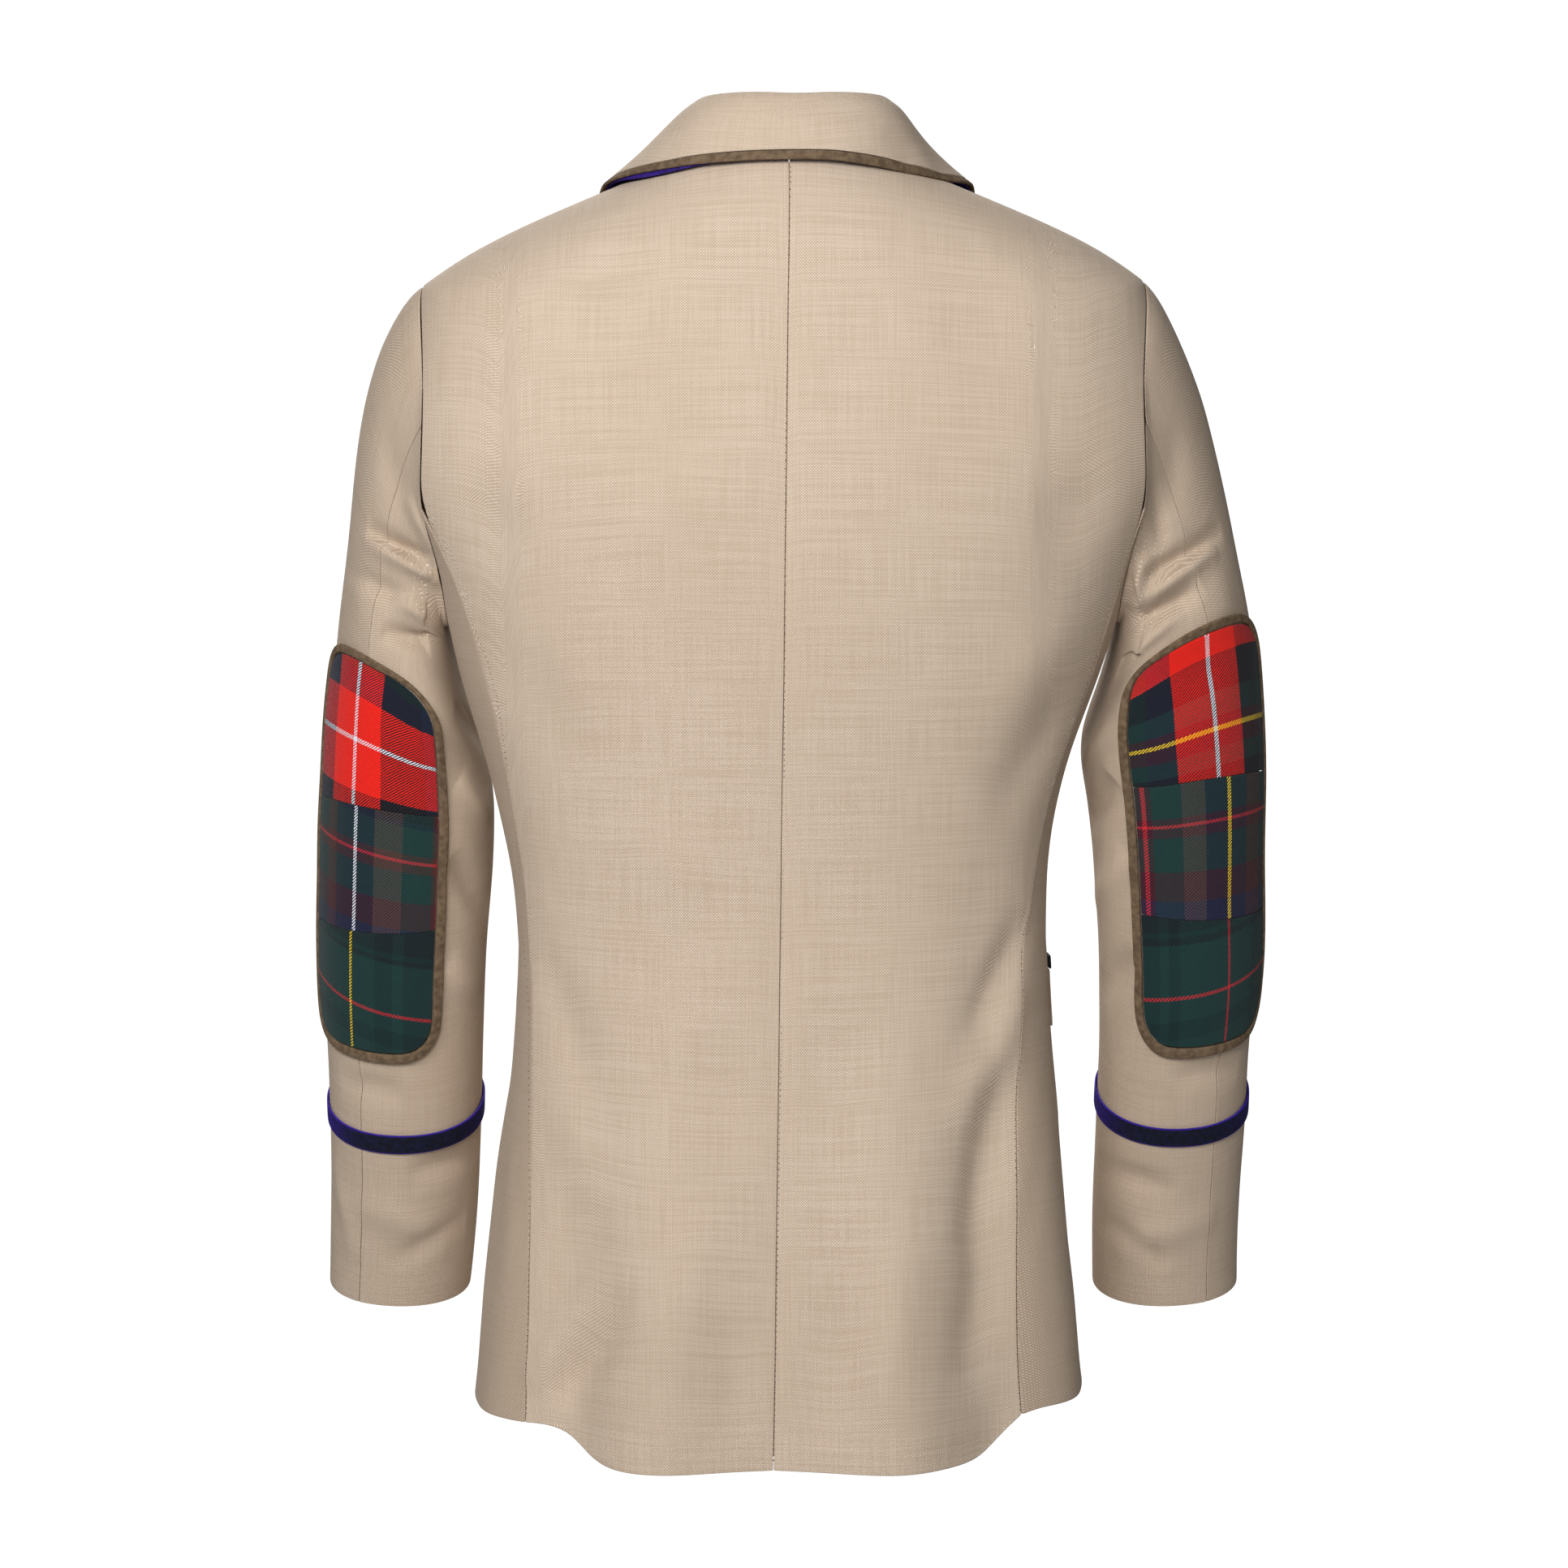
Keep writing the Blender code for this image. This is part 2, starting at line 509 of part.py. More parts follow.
def make_side(name, side, material):
    turns = armhole_turns(BACK_JUNCTION, FRONT_JUNCTION)
    rows = []
    for step in range(len(SKIRT_DROPS) + UPPER_STEPS):
        row = []
        for index, turn in enumerate(turns):
            across = index / (len(turns) - 1)
            top, top_angle = ARMHOLE.at("drop", turn), ARMHOLE.at("angle", turn)

            def plain(drop):
                return BACK_SEAM.at(hand(side), drop) * (1 - across) + FRONT_SEAM.at("angle", drop) * across

            if step < len(SKIRT_DROPS):
                drop = SKIRT_DROPS[step]
            else:
                share = (step - len(SKIRT_DROPS) + 1) / UPPER_STEPS
                drop = SKIRT_DROPS[-1] + (top - SKIRT_DROPS[-1]) * share
            angle = plain(drop) + (top_angle - plain(top)) * ramp((HEM_DROP - drop) / (HEM_DROP - top), 0.4, 1.0)
            row.append(torso_skin(side, drop, angle))
        rows.append(row)
    return wall(name, rows, CLOTH, material, trim="sel")


SLEEVE_ROWS = (0, 0.012, 0.028, 0.046, 0.066, 0.088, 0.112, 0.136, 0.160, 0.184, 0.206, 0.226, 0.246, 0.268,
               0.292, 0.318, 0.346, 0.376, 0.408, 0.442, 0.478, 0.512, 0.548, 0.590, 0.630, CUFF_REACH)


def wall_directions(points):
    """Outward directions of a sleeve's wall: across the cloth, but round the hole at the armhole."""
    along_turn = np.roll(points, -1, axis=1) - np.roll(points, 1, axis=1)
    along_reach = np.gradient(points, axis=0)
    normals = np.cross(along_turn, along_reach)
    normals /= np.linalg.norm(normals, axis=-1, keepdims=True)
    from_middle = points - points.mean(axis=1, keepdims=True)
    from_middle /= np.linalg.norm(from_middle, axis=-1, keepdims=True)
    if np.sum(normals[CUFF_RING] * from_middle[CUFF_RING]) < 0:
        normals = -normals
    radial = np.array([1 - ramp(reach, 0.0, RADIAL_REACH) for reach in SLEEVE_ROWS])[:, None, None]
    directions = normals * (1 - radial) + from_middle * radial
    return directions / np.linalg.norm(directions, axis=-1, keepdims=True)


def relaxed(points, turns):
    """Lets the cloth under the arm settle into an even curve that stays off the body."""
    under = np.array([1 - ramp(abs(turn - 180), 80, 125) for turn in turns])
    near = np.array([1 - ramp(reach, 0.10, 0.20) for reach in SLEEVE_ROWS])
    near[0] = 0.0
    share = near[:, None, None] * under[None, :, None]
    for attempt in range(RELAX_ROUNDS):
        beside = (np.roll(points, 1, axis=1) + np.roll(points, -1, axis=1)) / 2
        even = points.copy()
        even[1:-1] = (beside[1:-1] + points[:-2] + points[2:]) / 3
        points = points + (even - points) * share
        points = np.array([[clear_of_body(reach, point) for point in row]
                           for reach, row in zip(SLEEVE_ROWS, points)])
    return points


def sleeve_rows(side):
    """All rings of a sleeve, as rows of (point, way out)."""
    turns = armhole_turns(0, 360)[:-1]
    points = np.array([[sleeve_point(side, turn + SEAM_TURN.at("turn", reach), reach) for turn in turns]
                       for reach in SLEEVE_ROWS])
    points = relaxed(points, turns)
    return [list(zip(*row)) for row in zip(points, wall_directions(points))]


def make_sleeve(name, rows, first, last, material):
    columns = [turn // TURN_STEP % len(rows[0]) for turn in armhole_turns(first, last)]
    wall(name, [[row[column] for column in columns] for row in rows], CLOTH, material, trim="se")


def patch_skin(side, across, along, out):
    """A place on a patch by its share across (0 to 1, outer side to inner) and along (0 at the top)."""
    patch = PATCHES[side]
    turn = patch.outer_turn + (patch.inner_turn - patch.outer_turn) * across
    start = patch.outer_start + (patch.inner_start - patch.outer_start) * across
    return sleeve_skin(side, turn, start + (patch.end - start) * along, out)


def patch_width(side):
    patch = PATCHES[side]
    return math.radians(patch.inner_turn - patch.outer_turn) * SLEEVE_RADIUS


def make_patch(name, side, first, last, material):
    """One tartan piece of an elbow patch, which stops inside the binding and has its round corners."""
    inset = BINDING_WIDTH + PATCH_GAP
    corner = PATCH_CORNER - inset
    start, end = max(first, inset / PATCH_HEIGHT), min(last, 1 - inset / PATCH_HEIGHT)
    crowd_start, crowd_end = (CORNER_CROWD if first == 0 else 1), (CORNER_CROWD if last == 1 else 1)
    rows = []
    for step in between(0, 1, 8):
        along = start + (end - start) * (1 - (1 - step ** crowd_start) ** crowd_end)
        from_end = min(along, 1 - along) * PATCH_HEIGHT - inset
        gone = corner - math.sqrt(max(0.0, corner ** 2 - max(0.0, corner - from_end) ** 2))
        margin = (gone + inset) / patch_width(side)
        rows.append([patch_skin(side, across, along, LIFT + CLOTH) for across in between(margin, 1 - margin, 10)])
    wall(name, rows, CLOTH, material, trim="fl")


def rounded_outline(width, inset, corner_steps=4, side_steps=10, end_steps=5):
    """A rounded rectangle as (across, along) shares, inset from the patch's edge."""
    low, high, start, end = inset, width - inset, inset, PATCH_HEIGHT - inset
    corner = PATCH_CORNER - inset
    centres = ((low + corner, start + corner, 180), (high - corner, start + corner, 270),
               (high - corner, end - corner, 0), (low + corner, end - corner, 90))
    points = []
    for index, (x, y, begin) in enumerate(centres):
        arc = [math.radians(begin + 90 * step / corner_steps) for step in range(corner_steps + 1)]
        points += [np.array([x + corner * math.cos(a), y + corner * math.sin(a)]) for a in arc]
        next_x, next_y, next_begin = centres[(index + 1) % 4]
        a = math.radians(next_begin)
        there = np.array([next_x + corner * math.cos(a), next_y + corner * math.sin(a)])
        steps = side_steps if index in (1, 3) else end_steps
        points += [points[-1] + (there - points[-1]) * step / steps for step in range(1, steps)]
    return [(x / width, y / PATCH_HEIGHT) for x, y in points]


def make_patch_binding(name, side, material):
    rows = []
    for inset in (0.0, BINDING_WIDTH / 2, BINDING_WIDTH):
        outline = rounded_outline(patch_width(side), inset)
        rows.append([patch_skin(side, across, along, LIFT + FELT) for across, along in outline])
    wall(name, rows, FELT, material, loop=True)


def make_band(name, side, material):
    rows = []
    for reach in (BAND_TOP[side], BAND_TOP[side] + BAND_WIDTH):
        turns = [turn + SEAM_TURN.at("turn", reach) for turn in armhole_turns(0, 360)[:-1]]
        rows.append([sleeve_skin(side, turn, reach, SEWN_LIFT + VELVET) for turn in turns])
    wall(name, rows, VELVET, material, loop=True)


def make_on_front(name, side, top, height, out, thick, material):
    """A strip that lies on a front beside the pocket mouth."""
    rows = []
    for drop in between(top, top + height, max(1, round(height / 0.016))):
        angles = between(POCKET_BACK[side], POCKET_FRONT, 8)
        rows.append([torso_skin(side, drop, angle, out + thick) for angle in angles])
    wall(name, rows, thick, material)


def make_lapel(name, side, material):
    """The turned-back part of a front, which lies on the chest beside the roll line."""
    rows = []
    for share in between(LAPEL_START[side], 1.0, 11):
        row = []
        for across in between(0, 1, 4):
            drop = BREAK_DROP + (LAPEL_TOP + LAPEL_SLANT * across - BREAK_DROP) * share
            width = LAPEL_WIDTH * math.sin(share * math.pi / 2) ** 0.85
            angle = angle_at_x(drop, roll_x(drop) + width * across)
            lift = 2 * (SEWN_LIFT + (LIFT - SEWN_LIFT) * across)
            row.append(torso_skin(side, drop, angle, lift + CLOTH))
        rows.append(row)
    wall(name, rows, CLOTH, material)


def collar_frame(share):
    """Fold line, edge and the way out at a place round the collar; share runs from -1 to 1."""
    side = 1 if share >= 0 else -1
    row = {name: COLLAR.at(name, abs(share)) for name in COLLAR.names[1:]}
    seam, out = torso_skin(side, row["seam_drop"], row["seam_angle"])
    edge, edge_out = torso_skin(side, row["edge_drop"], row["edge_angle"], row["lift"])
    slip = COLLAR_ASKEW * min(1.0, row["stand"] / 0.03)
    edge[0] -= slip / 2
    flat = np.array([seam[0] / NECK_SPAN[0] ** 2, seam[1] / NECK_SPAN[1 if seam[1] > 0 else 2] ** 2, 0.0])
    flat /= np.linalg.norm(flat)
    fold = seam + np.array([-slip, 0, row["stand"]]) - flat * row["lean"]
    return seam, fold, edge, flat


def fall_point(share, along):
    """The outer cloth of the turned-down collar, from its fold (0) to its edge (1)."""
    seam, fold, edge, flat = collar_frame(share)
    bow = COLLAR.at("bow", abs(share)) * math.sin(math.pi * min(max(along, 0), 1))
    roll = max(0.0, 0.12 - along) / 0.12
    down = np.array([0, 0, -1.0])
    point = fold + (edge - fold) * along + (flat - down) * bow * 0.7
    return point + down * 0.0022 * roll ** 2 - flat * 0.0012 * roll ** 2


def fall_skin(share, along, out=0.0):
    seam, fold, edge, flat = collar_frame(share)
    here, normal = surface(fall_point, share, along, 0.012, 0.03, fold - flat * 0.05 - np.array([0, 0, 0.05]))
    return here + normal * out, normal


COLLAR_SHARES = between(-1, 1, 26)


def make_collar(materials):
    """Fall, its bound edge, the undercollar beneath, and the stand inside."""
    edge_start = [1 - COLLAR_EDGE / np.linalg.norm(collar_frame(s)[2] - collar_frame(s)[1]) for s in COLLAR_SHARES]
    steps = 5
    rows = [[fall_skin(s, end * i / steps) for s, end in zip(COLLAR_SHARES, edge_start)] for i in range(steps + 1)]
    wall("collar_fall", rows, CLOTH, materials["cloth"], trim="l")
    rows = [[fall_skin(s, end + (1 - end) * i) for s, end in zip(COLLAR_SHARES, edge_start)] for i in (0, 1)]
    wall("collar_binding", rows, CLOTH, materials["felt"], trim="f")
    rows = []
    for i in range(1, steps + 2):
        row = []
        for share, end in list(zip(COLLAR_SHARES, edge_start))[1:-1]:
            along = end * i / steps if i <= steps else 1 - UNDER_SHORT + undercollar_peep(share)
            row.append(fall_skin(share, along, -CLOTH - UNDER_GAP))
        rows.append(row)
    wall("undercollar", rows, VELVET, materials["velvet"])
    rows = []
    for height in (0.0, 0.5, 1.0):
        row = []
        for share in COLLAR_SHARES[2:-2]:
            seam, fold, edge, flat = collar_frame(share)
            low = seam + np.array([0, 0, 0.0006]) - flat * 0.0004
            high = fold - np.array([0, 0, 0.0062]) - flat * 0.0030
            row.append((low + (high - low) * height, flat))
        rows.append(row)
    wall("collar_stand", rows, CLOTH, materials["cloth"])


def undercollar_peep(share):
    """The undercollar shows below the edge on the left of the back."""
    return 0.085 * math.exp(-((share - 0.27) / 0.10) ** 2)


def make_button(name, drop, material):
    """A turned button with a raised rim, on the left front at the centre front line."""
    back = min(torso_skin(1, drop + dz, angle_at_x(drop + dz, dx))[0][1]
               for dx in (-0.010, 0, 0.010) for dz in (-0.01, 0, 0.01))
    centre = torso_skin(1, drop, 180)[0]
    profile = ((0.0, 0.0), (0.55, 0.0), (0.90, 0.12), (1.0, 0.42), (0.95, 0.80), (0.84, 1.0), (0.70, 0.86), (0.0, 0.80))
    bm = bmesh.new()
    ring = [bm.verts.new((BUTTON_RADIUS * r, -BUTTON_THICK * d, 0)) for r, d in profile]
    edges = [bm.edges.new((a, b)) for a, b in zip(ring, ring[1:])]
    bmesh.ops.spin(bm, geom=ring + edges, cent=(0, 0, 0), axis=(0, 1, 0), angle=2 * math.pi, steps=18, use_merge=True)
    bmesh.ops.remove_doubles(bm, verts=bm.verts, dist=0.00002)
    bmesh.ops.translate(bm, verts=bm.verts, vec=(0.0, back, centre[2]))
    add_object(name, bm, material)


def main():
    for thing in list(bpy.data.objects):
        bpy.data.objects.remove(thing, do_unlink=True)
    materials = {
        "cloth": cloth_colour("beige cloth", (0.50, 0.40, 0.30)),
        "felt": cloth_colour("brown felt", (0.10, 0.07, 0.045)),
        "velvet": cloth_colour("purple velvet", (0.05, 0.02, 0.24), 0.7),
        "tartan red": cloth_colour("red tartan", (0.45, 0.03, 0.03)),
        "tartan blue": cloth_colour("blue tartan", (0.02, 0.04, 0.10)),
        "tartan green": cloth_colour("green tartan", (0.01, 0.07, 0.06)),
        "dark": cloth_colour("dark welt", (0.02, 0.02, 0.02)),
        "horn": cloth_colour("horn", (0.12, 0.07, 0.04), 0.4),
    }
    tartans = ("tartan red", "tartan blue", "tartan green")
    for side in (1, -1):
        end = hand(side)
        make_back("back_" + end, side, materials["cloth"])
        make_side("side_" + end, side, materials["cloth"])
        make_front("front_" + end, side, materials["cloth"])
        make_lapel("lapel_" + end, side, materials["cloth"])
        make_on_front("pocket_welt_" + end, side, POCKET_TOP, WELT_HEIGHT, 0.0012, CLOTH, materials["dark"])
        make_on_front("pocket_flap_" + end, side, POCKET_TOP + WELT_HEIGHT + 0.0004, FLAP_HEIGHT, 0.0012, CLOTH,
                      materials["cloth"])
        rings = sleeve_rows(side)
        make_sleeve("sleeve_top_" + end, rings, FORE_SEAM - 360, HIND_SEAM, materials["cloth"])
        make_sleeve("sleeve_under_" + end, rings, HIND_SEAM, FORE_SEAM, materials["cloth"])
        splits = PATCHES[side].splits
        for index, place in enumerate(("upper", "middle", "lower")):
            make_patch("patch_%s_%s" % (place, end), side, splits[index], splits[index + 1],
                       materials[tartans[index]])
        make_patch_binding("patch_binding_" + end, side, materials["felt"])
        make_band("sleeve_band_" + end, side, materials["velvet"])
    make_collar(materials)
    for index, drop in enumerate(BUTTON_DROPS):
        make_button("button_%d" % (index + 1), drop, materials["horn"])


main()
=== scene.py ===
# %% [markdown]
# # A tailored jacket with tartan elbow patches
#
# This lesson dresses an empty, filled-out jacket that is seen from behind. The shape of every cut
# piece is already known as a plain solid. Here each piece of cloth gets rounded edges, soft creases,
# a weave and its seams, and the patches get their checks. All sizes are in metres, +Z is up, the
# jacket's front faces -Y, and the wearer's left is +X.

# %% Load the frame
import math
from collections import namedtuple

import bmesh
import bpy
import numpy as np
from mathutils import Matrix, Vector, noise
from mathutils.bvhtree import BVHTree
from mathutils.interpolate import poly_3d_calc


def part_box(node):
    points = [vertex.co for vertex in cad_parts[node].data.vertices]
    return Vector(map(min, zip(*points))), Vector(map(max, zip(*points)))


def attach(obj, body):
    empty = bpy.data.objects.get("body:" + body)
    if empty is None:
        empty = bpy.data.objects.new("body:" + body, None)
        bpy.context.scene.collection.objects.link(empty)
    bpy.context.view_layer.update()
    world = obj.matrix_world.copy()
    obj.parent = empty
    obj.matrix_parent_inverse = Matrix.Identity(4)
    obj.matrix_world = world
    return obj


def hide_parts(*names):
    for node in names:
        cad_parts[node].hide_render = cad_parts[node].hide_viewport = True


scene = bpy.context.scene
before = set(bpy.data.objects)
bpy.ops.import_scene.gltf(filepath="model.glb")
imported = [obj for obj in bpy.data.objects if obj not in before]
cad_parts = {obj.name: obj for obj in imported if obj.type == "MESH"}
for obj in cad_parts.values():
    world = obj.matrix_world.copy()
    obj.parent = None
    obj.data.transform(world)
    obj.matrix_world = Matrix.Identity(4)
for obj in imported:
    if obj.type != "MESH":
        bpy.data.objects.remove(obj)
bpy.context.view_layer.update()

# %% [markdown]
# ## Building materials in few words
#
# Sky, paper and cloth are all made of nodes. These helpers add a node, do arithmetic and mix colours,
# so that a cloth reads as a short recipe. Colours are written as they look on a screen, from 0 to 255.


# %% Node helpers
def screen(red, green, blue):
    """A colour as it looks on a screen, turned into the linear values that Blender works with."""
    return (*[(c / 255 / 12.92 if c <= 10 else ((c / 255 + 0.055) / 1.055) ** 2.4)
              for c in (red, green, blue)], 1.0)


def plug(tree, node, inputs):
    """Gives a node its inputs: a socket is linked and a value is set."""
    for key, value in inputs.items():
        if isinstance(value, bpy.types.NodeSocket):
            tree.links.new(value, node.inputs[key])
        else:
            node.inputs[key].default_value = value


def add(tree, kind, inputs=None, **settings):
    node = tree.nodes.new("ShaderNode" + kind)
    for name, value in settings.items():
        setattr(node, name, value)
    plug(tree, node, inputs or {})
    return node


def calc(tree, operation, *inputs):
    return add(tree, "Math", dict(enumerate(inputs)), operation=operation).outputs[0]


def times(tree, a, b):
    return calc(tree, "MULTIPLY", a, b)


def blend(tree, share, a, b, blend_type="MIX"):
    return add(tree, "Mix", {0: share, 6: a, 7: b}, data_type="RGBA", blend_type=blend_type).outputs[2]


def spread(tree, value, low, high, to_low=0.0, to_high=1.0):
    return add(tree, "MapRange", {0: value, 1: low, 2: high, 3: to_low, 4: to_high},
               interpolation_type="SMOOTHSTEP").outputs[0]


def grain(tree, vector, scale, detail=2.0):
    return add(tree, "TexNoise", {"Vector": vector, "Scale": scale, "Detail": detail}).outputs["Fac"]


def stretched(tree, vector, scale):
    return add(tree, "Mapping", {"Vector": vector, "Scale": scale}).outputs[0]


def on_object(tree):
    return add(tree, "TexCoord").outputs["Object"]


def new_group(name, inputs, outputs):
    """A node group, the sockets of its input node, and its output node. Each socket has a name and a kind."""
    group = bpy.data.node_groups.new(name, "ShaderNodeTree")
    for sockets, way in ((inputs, "INPUT"), (outputs, "OUTPUT")):
        for label, kind in sockets.items():
            group.interface.new_socket(label, in_out=way, socket_type="NodeSocket" + kind)
    return group, group.nodes.new("NodeGroupInput").outputs, group.nodes.new("NodeGroupOutput")


def use_group(tree, group, inputs):
    return add(tree, "Group", inputs, node_tree=group).outputs


def new_material(name, roughness, sheen=0.0, sheen_tint=(1, 1, 1, 1), sheen_roughness=0.5):
    material = bpy.data.materials.new(name)
    material.use_nodes = True
    tree = material.node_tree
    shader = tree.nodes["Principled BSDF"]
    plug(tree, shader, {"Roughness": roughness, "Specular IOR Level": 0.25, "Sheen Weight": sheen,
                        "Sheen Tint": sheen_tint, "Sheen Roughness": sheen_roughness})
    return material, tree, shader


def surface(tree, shader, colour, height, distance, strength=0.6):
    """Joins a colour and a bump to the shader."""
    bump = add(tree, "Bump", {"Height": height, "Distance": distance, "Strength": strength})
    plug(tree, shader, {"Base Color": colour, "Normal": bump.outputs[0]})


# %% [markdown]
# ## The studio
#
# The jacket floats in front of a pale sweep of paper. The camera stands behind it, 2.5 m away and a
# little above its middle, with a long lens, which keeps the sleeves and the body in proportion. The
# light is soft and comes mostly from high on the wearer's left, so the round sides turn darker. The
# paper and the sky look white to the camera, but they send only a little light back to the jacket.

# %% Camera
FRAME_PIXELS, FOCAL_PIXELS, SENSOR_MM = 1932, 4875, 36.0
EYE, AIM = Vector((0.0, 2.4839, -0.1070)), Vector((0.0, 0.0, -0.39))
LOOK = (AIM - EYE).to_track_quat("-Z", "Y")
camera = bpy.data.objects.new("camera", bpy.data.cameras.new("camera"))
camera.data.sensor_width = SENSOR_MM
camera.data.lens = SENSOR_MM * FOCAL_PIXELS / FRAME_PIXELS
camera.location = EYE
camera.rotation_euler = LOOK.to_euler()
scene.collection.objects.link(camera)
scene.camera = camera
scene.view_settings.view_transform = "Standard"
print("lens:", round(camera.data.lens, 2), "mm")


# %% Lights and sky
def soft_light(name, place, size, power):
    """A square soft box that looks at the middle of the jacket."""
    light = bpy.data.objects.new(name, bpy.data.lights.new(name, "AREA"))
    light.data.size = size
    light.data.energy = power
    light.location = place
    light.rotation_euler = (AIM - Vector(place)).to_track_quat("-Z", "Y").to_euler()
    scene.collection.objects.link(light)


SKY_LIGHT, SKY_WHITE = 0.05, 1.0  # what the jacket gets from it, and what the camera sees besides
sky = bpy.data.worlds.new("studio sky")
sky.use_nodes = True
tree = sky.node_tree
seen = add(tree, "LightPath").outputs["Is Camera Ray"]
plug(tree, tree.nodes["Background"], {
    "Color": (0.97, 0.98, 1.0, 1), "Strength": calc(tree, "MULTIPLY_ADD", seen, SKY_WHITE, SKY_LIGHT)})
scene.world = sky
soft_light("key", (1.0, 2.1, 0.9), 0.7, 29)
soft_light("upper", (0.3, 2.3, 0.5), 0.6, 30)
soft_light("fill", (-1.4, 2.3, 0.3), 1.2, 7)
soft_light("rim", (0.0, 0.9, 1.9), 0.9, 4)
soft_light("far side", (0.3, -2.2, 0.9), 1.6, 52)

# %% Paper sweep
FLOOR_Z, SWEEP_WIDTH, SWEEP_REACH, SWEEP_HEIGHT, SWEEP_BEND = -0.93, 7.0, 3.0, 6.0, 1.2
bm = bmesh.new()
bmesh.ops.create_grid(bm, x_segments=1, y_segments=1, size=1.0)
bmesh.ops.scale(bm, verts=bm.verts, vec=(SWEEP_WIDTH, SWEEP_REACH, 1.0))
far_edge = min(bm.edges, key=lambda edge: sum(vert.co.y for vert in edge.verts))
raised = bmesh.ops.extrude_edge_only(bm, edges=[far_edge])["geom"]
bmesh.ops.translate(bm, verts=[g for g in raised if isinstance(g, bmesh.types.BMVert)],
                    vec=(0, 0, SWEEP_HEIGHT))
bmesh.ops.bevel(bm, geom=[far_edge], offset=SWEEP_BEND, segments=16, profile=0.5, affect="EDGES",
                material=-1)
bmesh.ops.translate(bm, verts=bm.verts, vec=(0, 0, FLOOR_Z))
sweep = bpy.data.objects.new("paper_sweep", bpy.data.meshes.new("paper_sweep"))
bm.to_mesh(sweep.data)
bm.free()
sweep.data.shade_smooth()
scene.collection.objects.link(sweep)

PAPER_GLOW, PAPER_SHARE = 1.15, 0.93  # how bright the camera sees the paper, and how much of that it sees
paper = bpy.data.materials.new("white paper")
paper.use_nodes = True
tree = paper.node_tree
shader = tree.nodes["Principled BSDF"]
plug(tree, shader, {"Base Color": (0.42, 0.42, 0.42, 1), "Roughness": 0.9})
seen = times(tree, add(tree, "LightPath").outputs["Is Camera Ray"], PAPER_SHARE)
glow = add(tree, "Emission", {"Strength": PAPER_GLOW})
mixed = add(tree, "MixShader", {0: seen, 1: shader.outputs[0], 2: glow.outputs[0]})
plug(tree, tree.nodes["Material Output"], {"Surface": mixed.outputs[0]})
sweep.data.materials.append(paper)

# %% [markdown]
# ## The weave groups
#
# The jacket cloth is a two-tone plain weave: pale weft threads show as small staggered dots on a
# darker ground, and here and there a thread is thicker, which draws a faint line. So one group can
# mix any two stripe patterns, just as a loom does. Both groups read the piece's own UV map, which
# holds metres along the cloth. A third group makes the short fibres of felt and velvet.

# %% Group: two-tone weave
dotted_weave, inside, outside = new_group(
    "two-tone weave", {"Vector": "Vector", "Pitch": "Float"},
    {"Dots": "Float", "Slubs": "Float", "Height": "Float"})
tree, vector = dotted_weave, inside["Vector"]
wander = add(tree, "TexNoise", {"Vector": vector, "Scale": 160.0, "Detail": 1.0}).outputs["Color"]
moved = add(tree, "VectorMath", {0: wander, 1: (0.0005, 0.0005, 0.0)}, operation="MULTIPLY").outputs[0]
place = add(tree, "VectorMath", {0: vector, 1: moved}, operation="ADD").outputs[0]
axes = add(tree, "SeparateXYZ", {0: place}).outputs
turned = [times(tree, axis, 2 * math.pi) for axis in axes[:2]]
waves = [calc(tree, "COSINE", calc(tree, "DIVIDE", turn, inside["Pitch"])) for turn in turned]
checker = calc(tree, "MULTIPLY_ADD", times(tree, *waves), 0.5, 0.5)  # from 0 to 1
dots = spread(tree, checker, 0.50, 0.92)
across_slub = grain(tree, stretched(tree, vector, (14.0, 900.0, 1.0)), 1.0)
down_slub = grain(tree, stretched(tree, vector, (900.0, 20.0, 1.0)), 1.0)
slubs = calc(tree, "ADD", times(tree, across_slub, 0.6), times(tree, down_slub, 0.4))
plug(tree, outside, {"Dots": dots, "Slubs": slubs, "Height": calc(tree, "ADD", dots, slubs)})

# %% Group: twill of two threads
twill, inside, outside = new_group(
    "twill", {"Vector": "Vector", "Pitch": "Float", "Slant": "Float", "Upright": "Color",
              "Crosswise": "Color"}, {"Colour": "Color", "Height": "Float"})
tree, vector = twill, inside["Vector"]
axes = add(tree, "SeparateXYZ", {0: vector}).outputs
slanted = calc(tree, "SUBTRACT", axes[0], times(tree, axes[1], inside["Slant"]))
uneven_thread = times(tree, grain(tree, vector, 500.0), 0.30)
phase = calc(tree, "ADD", calc(tree, "DIVIDE", slanted, inside["Pitch"]), uneven_thread)
crosswise = spread(tree, calc(tree, "PINGPONG", phase, 0.5), 0.20, 0.30)
ridge = calc(tree, "ABSOLUTE", calc(tree, "SINE", times(tree, phase, 2 * math.pi)))
fuzz = grain(tree, vector, 2200.0, 3.0)
shade = calc(tree, "ADD", spread(tree, ridge, 0.0, 0.8, 0.62, 0.92), times(tree, fuzz, 0.25))
threads = blend(tree, crosswise, inside["Upright"], inside["Crosswise"])
shades = add(tree, "CombineColor", {0: shade, 1: shade, 2: shade}).outputs[0]
plug(tree, outside, {"Colour": blend(tree, 1.0, threads, shades, "MULTIPLY"),
                     "Height": calc(tree, "ADD", ridge, fuzz)})

# %% Group: short fibres
fibres, inside, outside = new_group(
    "short fibres", {"Vector": "Vector", "Scale": "Float"}, {"Tone": "Float", "Height": "Float"})
tree, vector = fibres, inside["Vector"]
coarse = grain(tree, vector, inside["Scale"], 3.0)
fine = grain(tree, vector, times(tree, inside["Scale"], 9.0), 3.0)
plug(tree, outside, {"Tone": spread(tree, coarse, 0.3, 0.7), "Height": fine})
print("groups:", [g.name for g in bpy.data.node_groups])

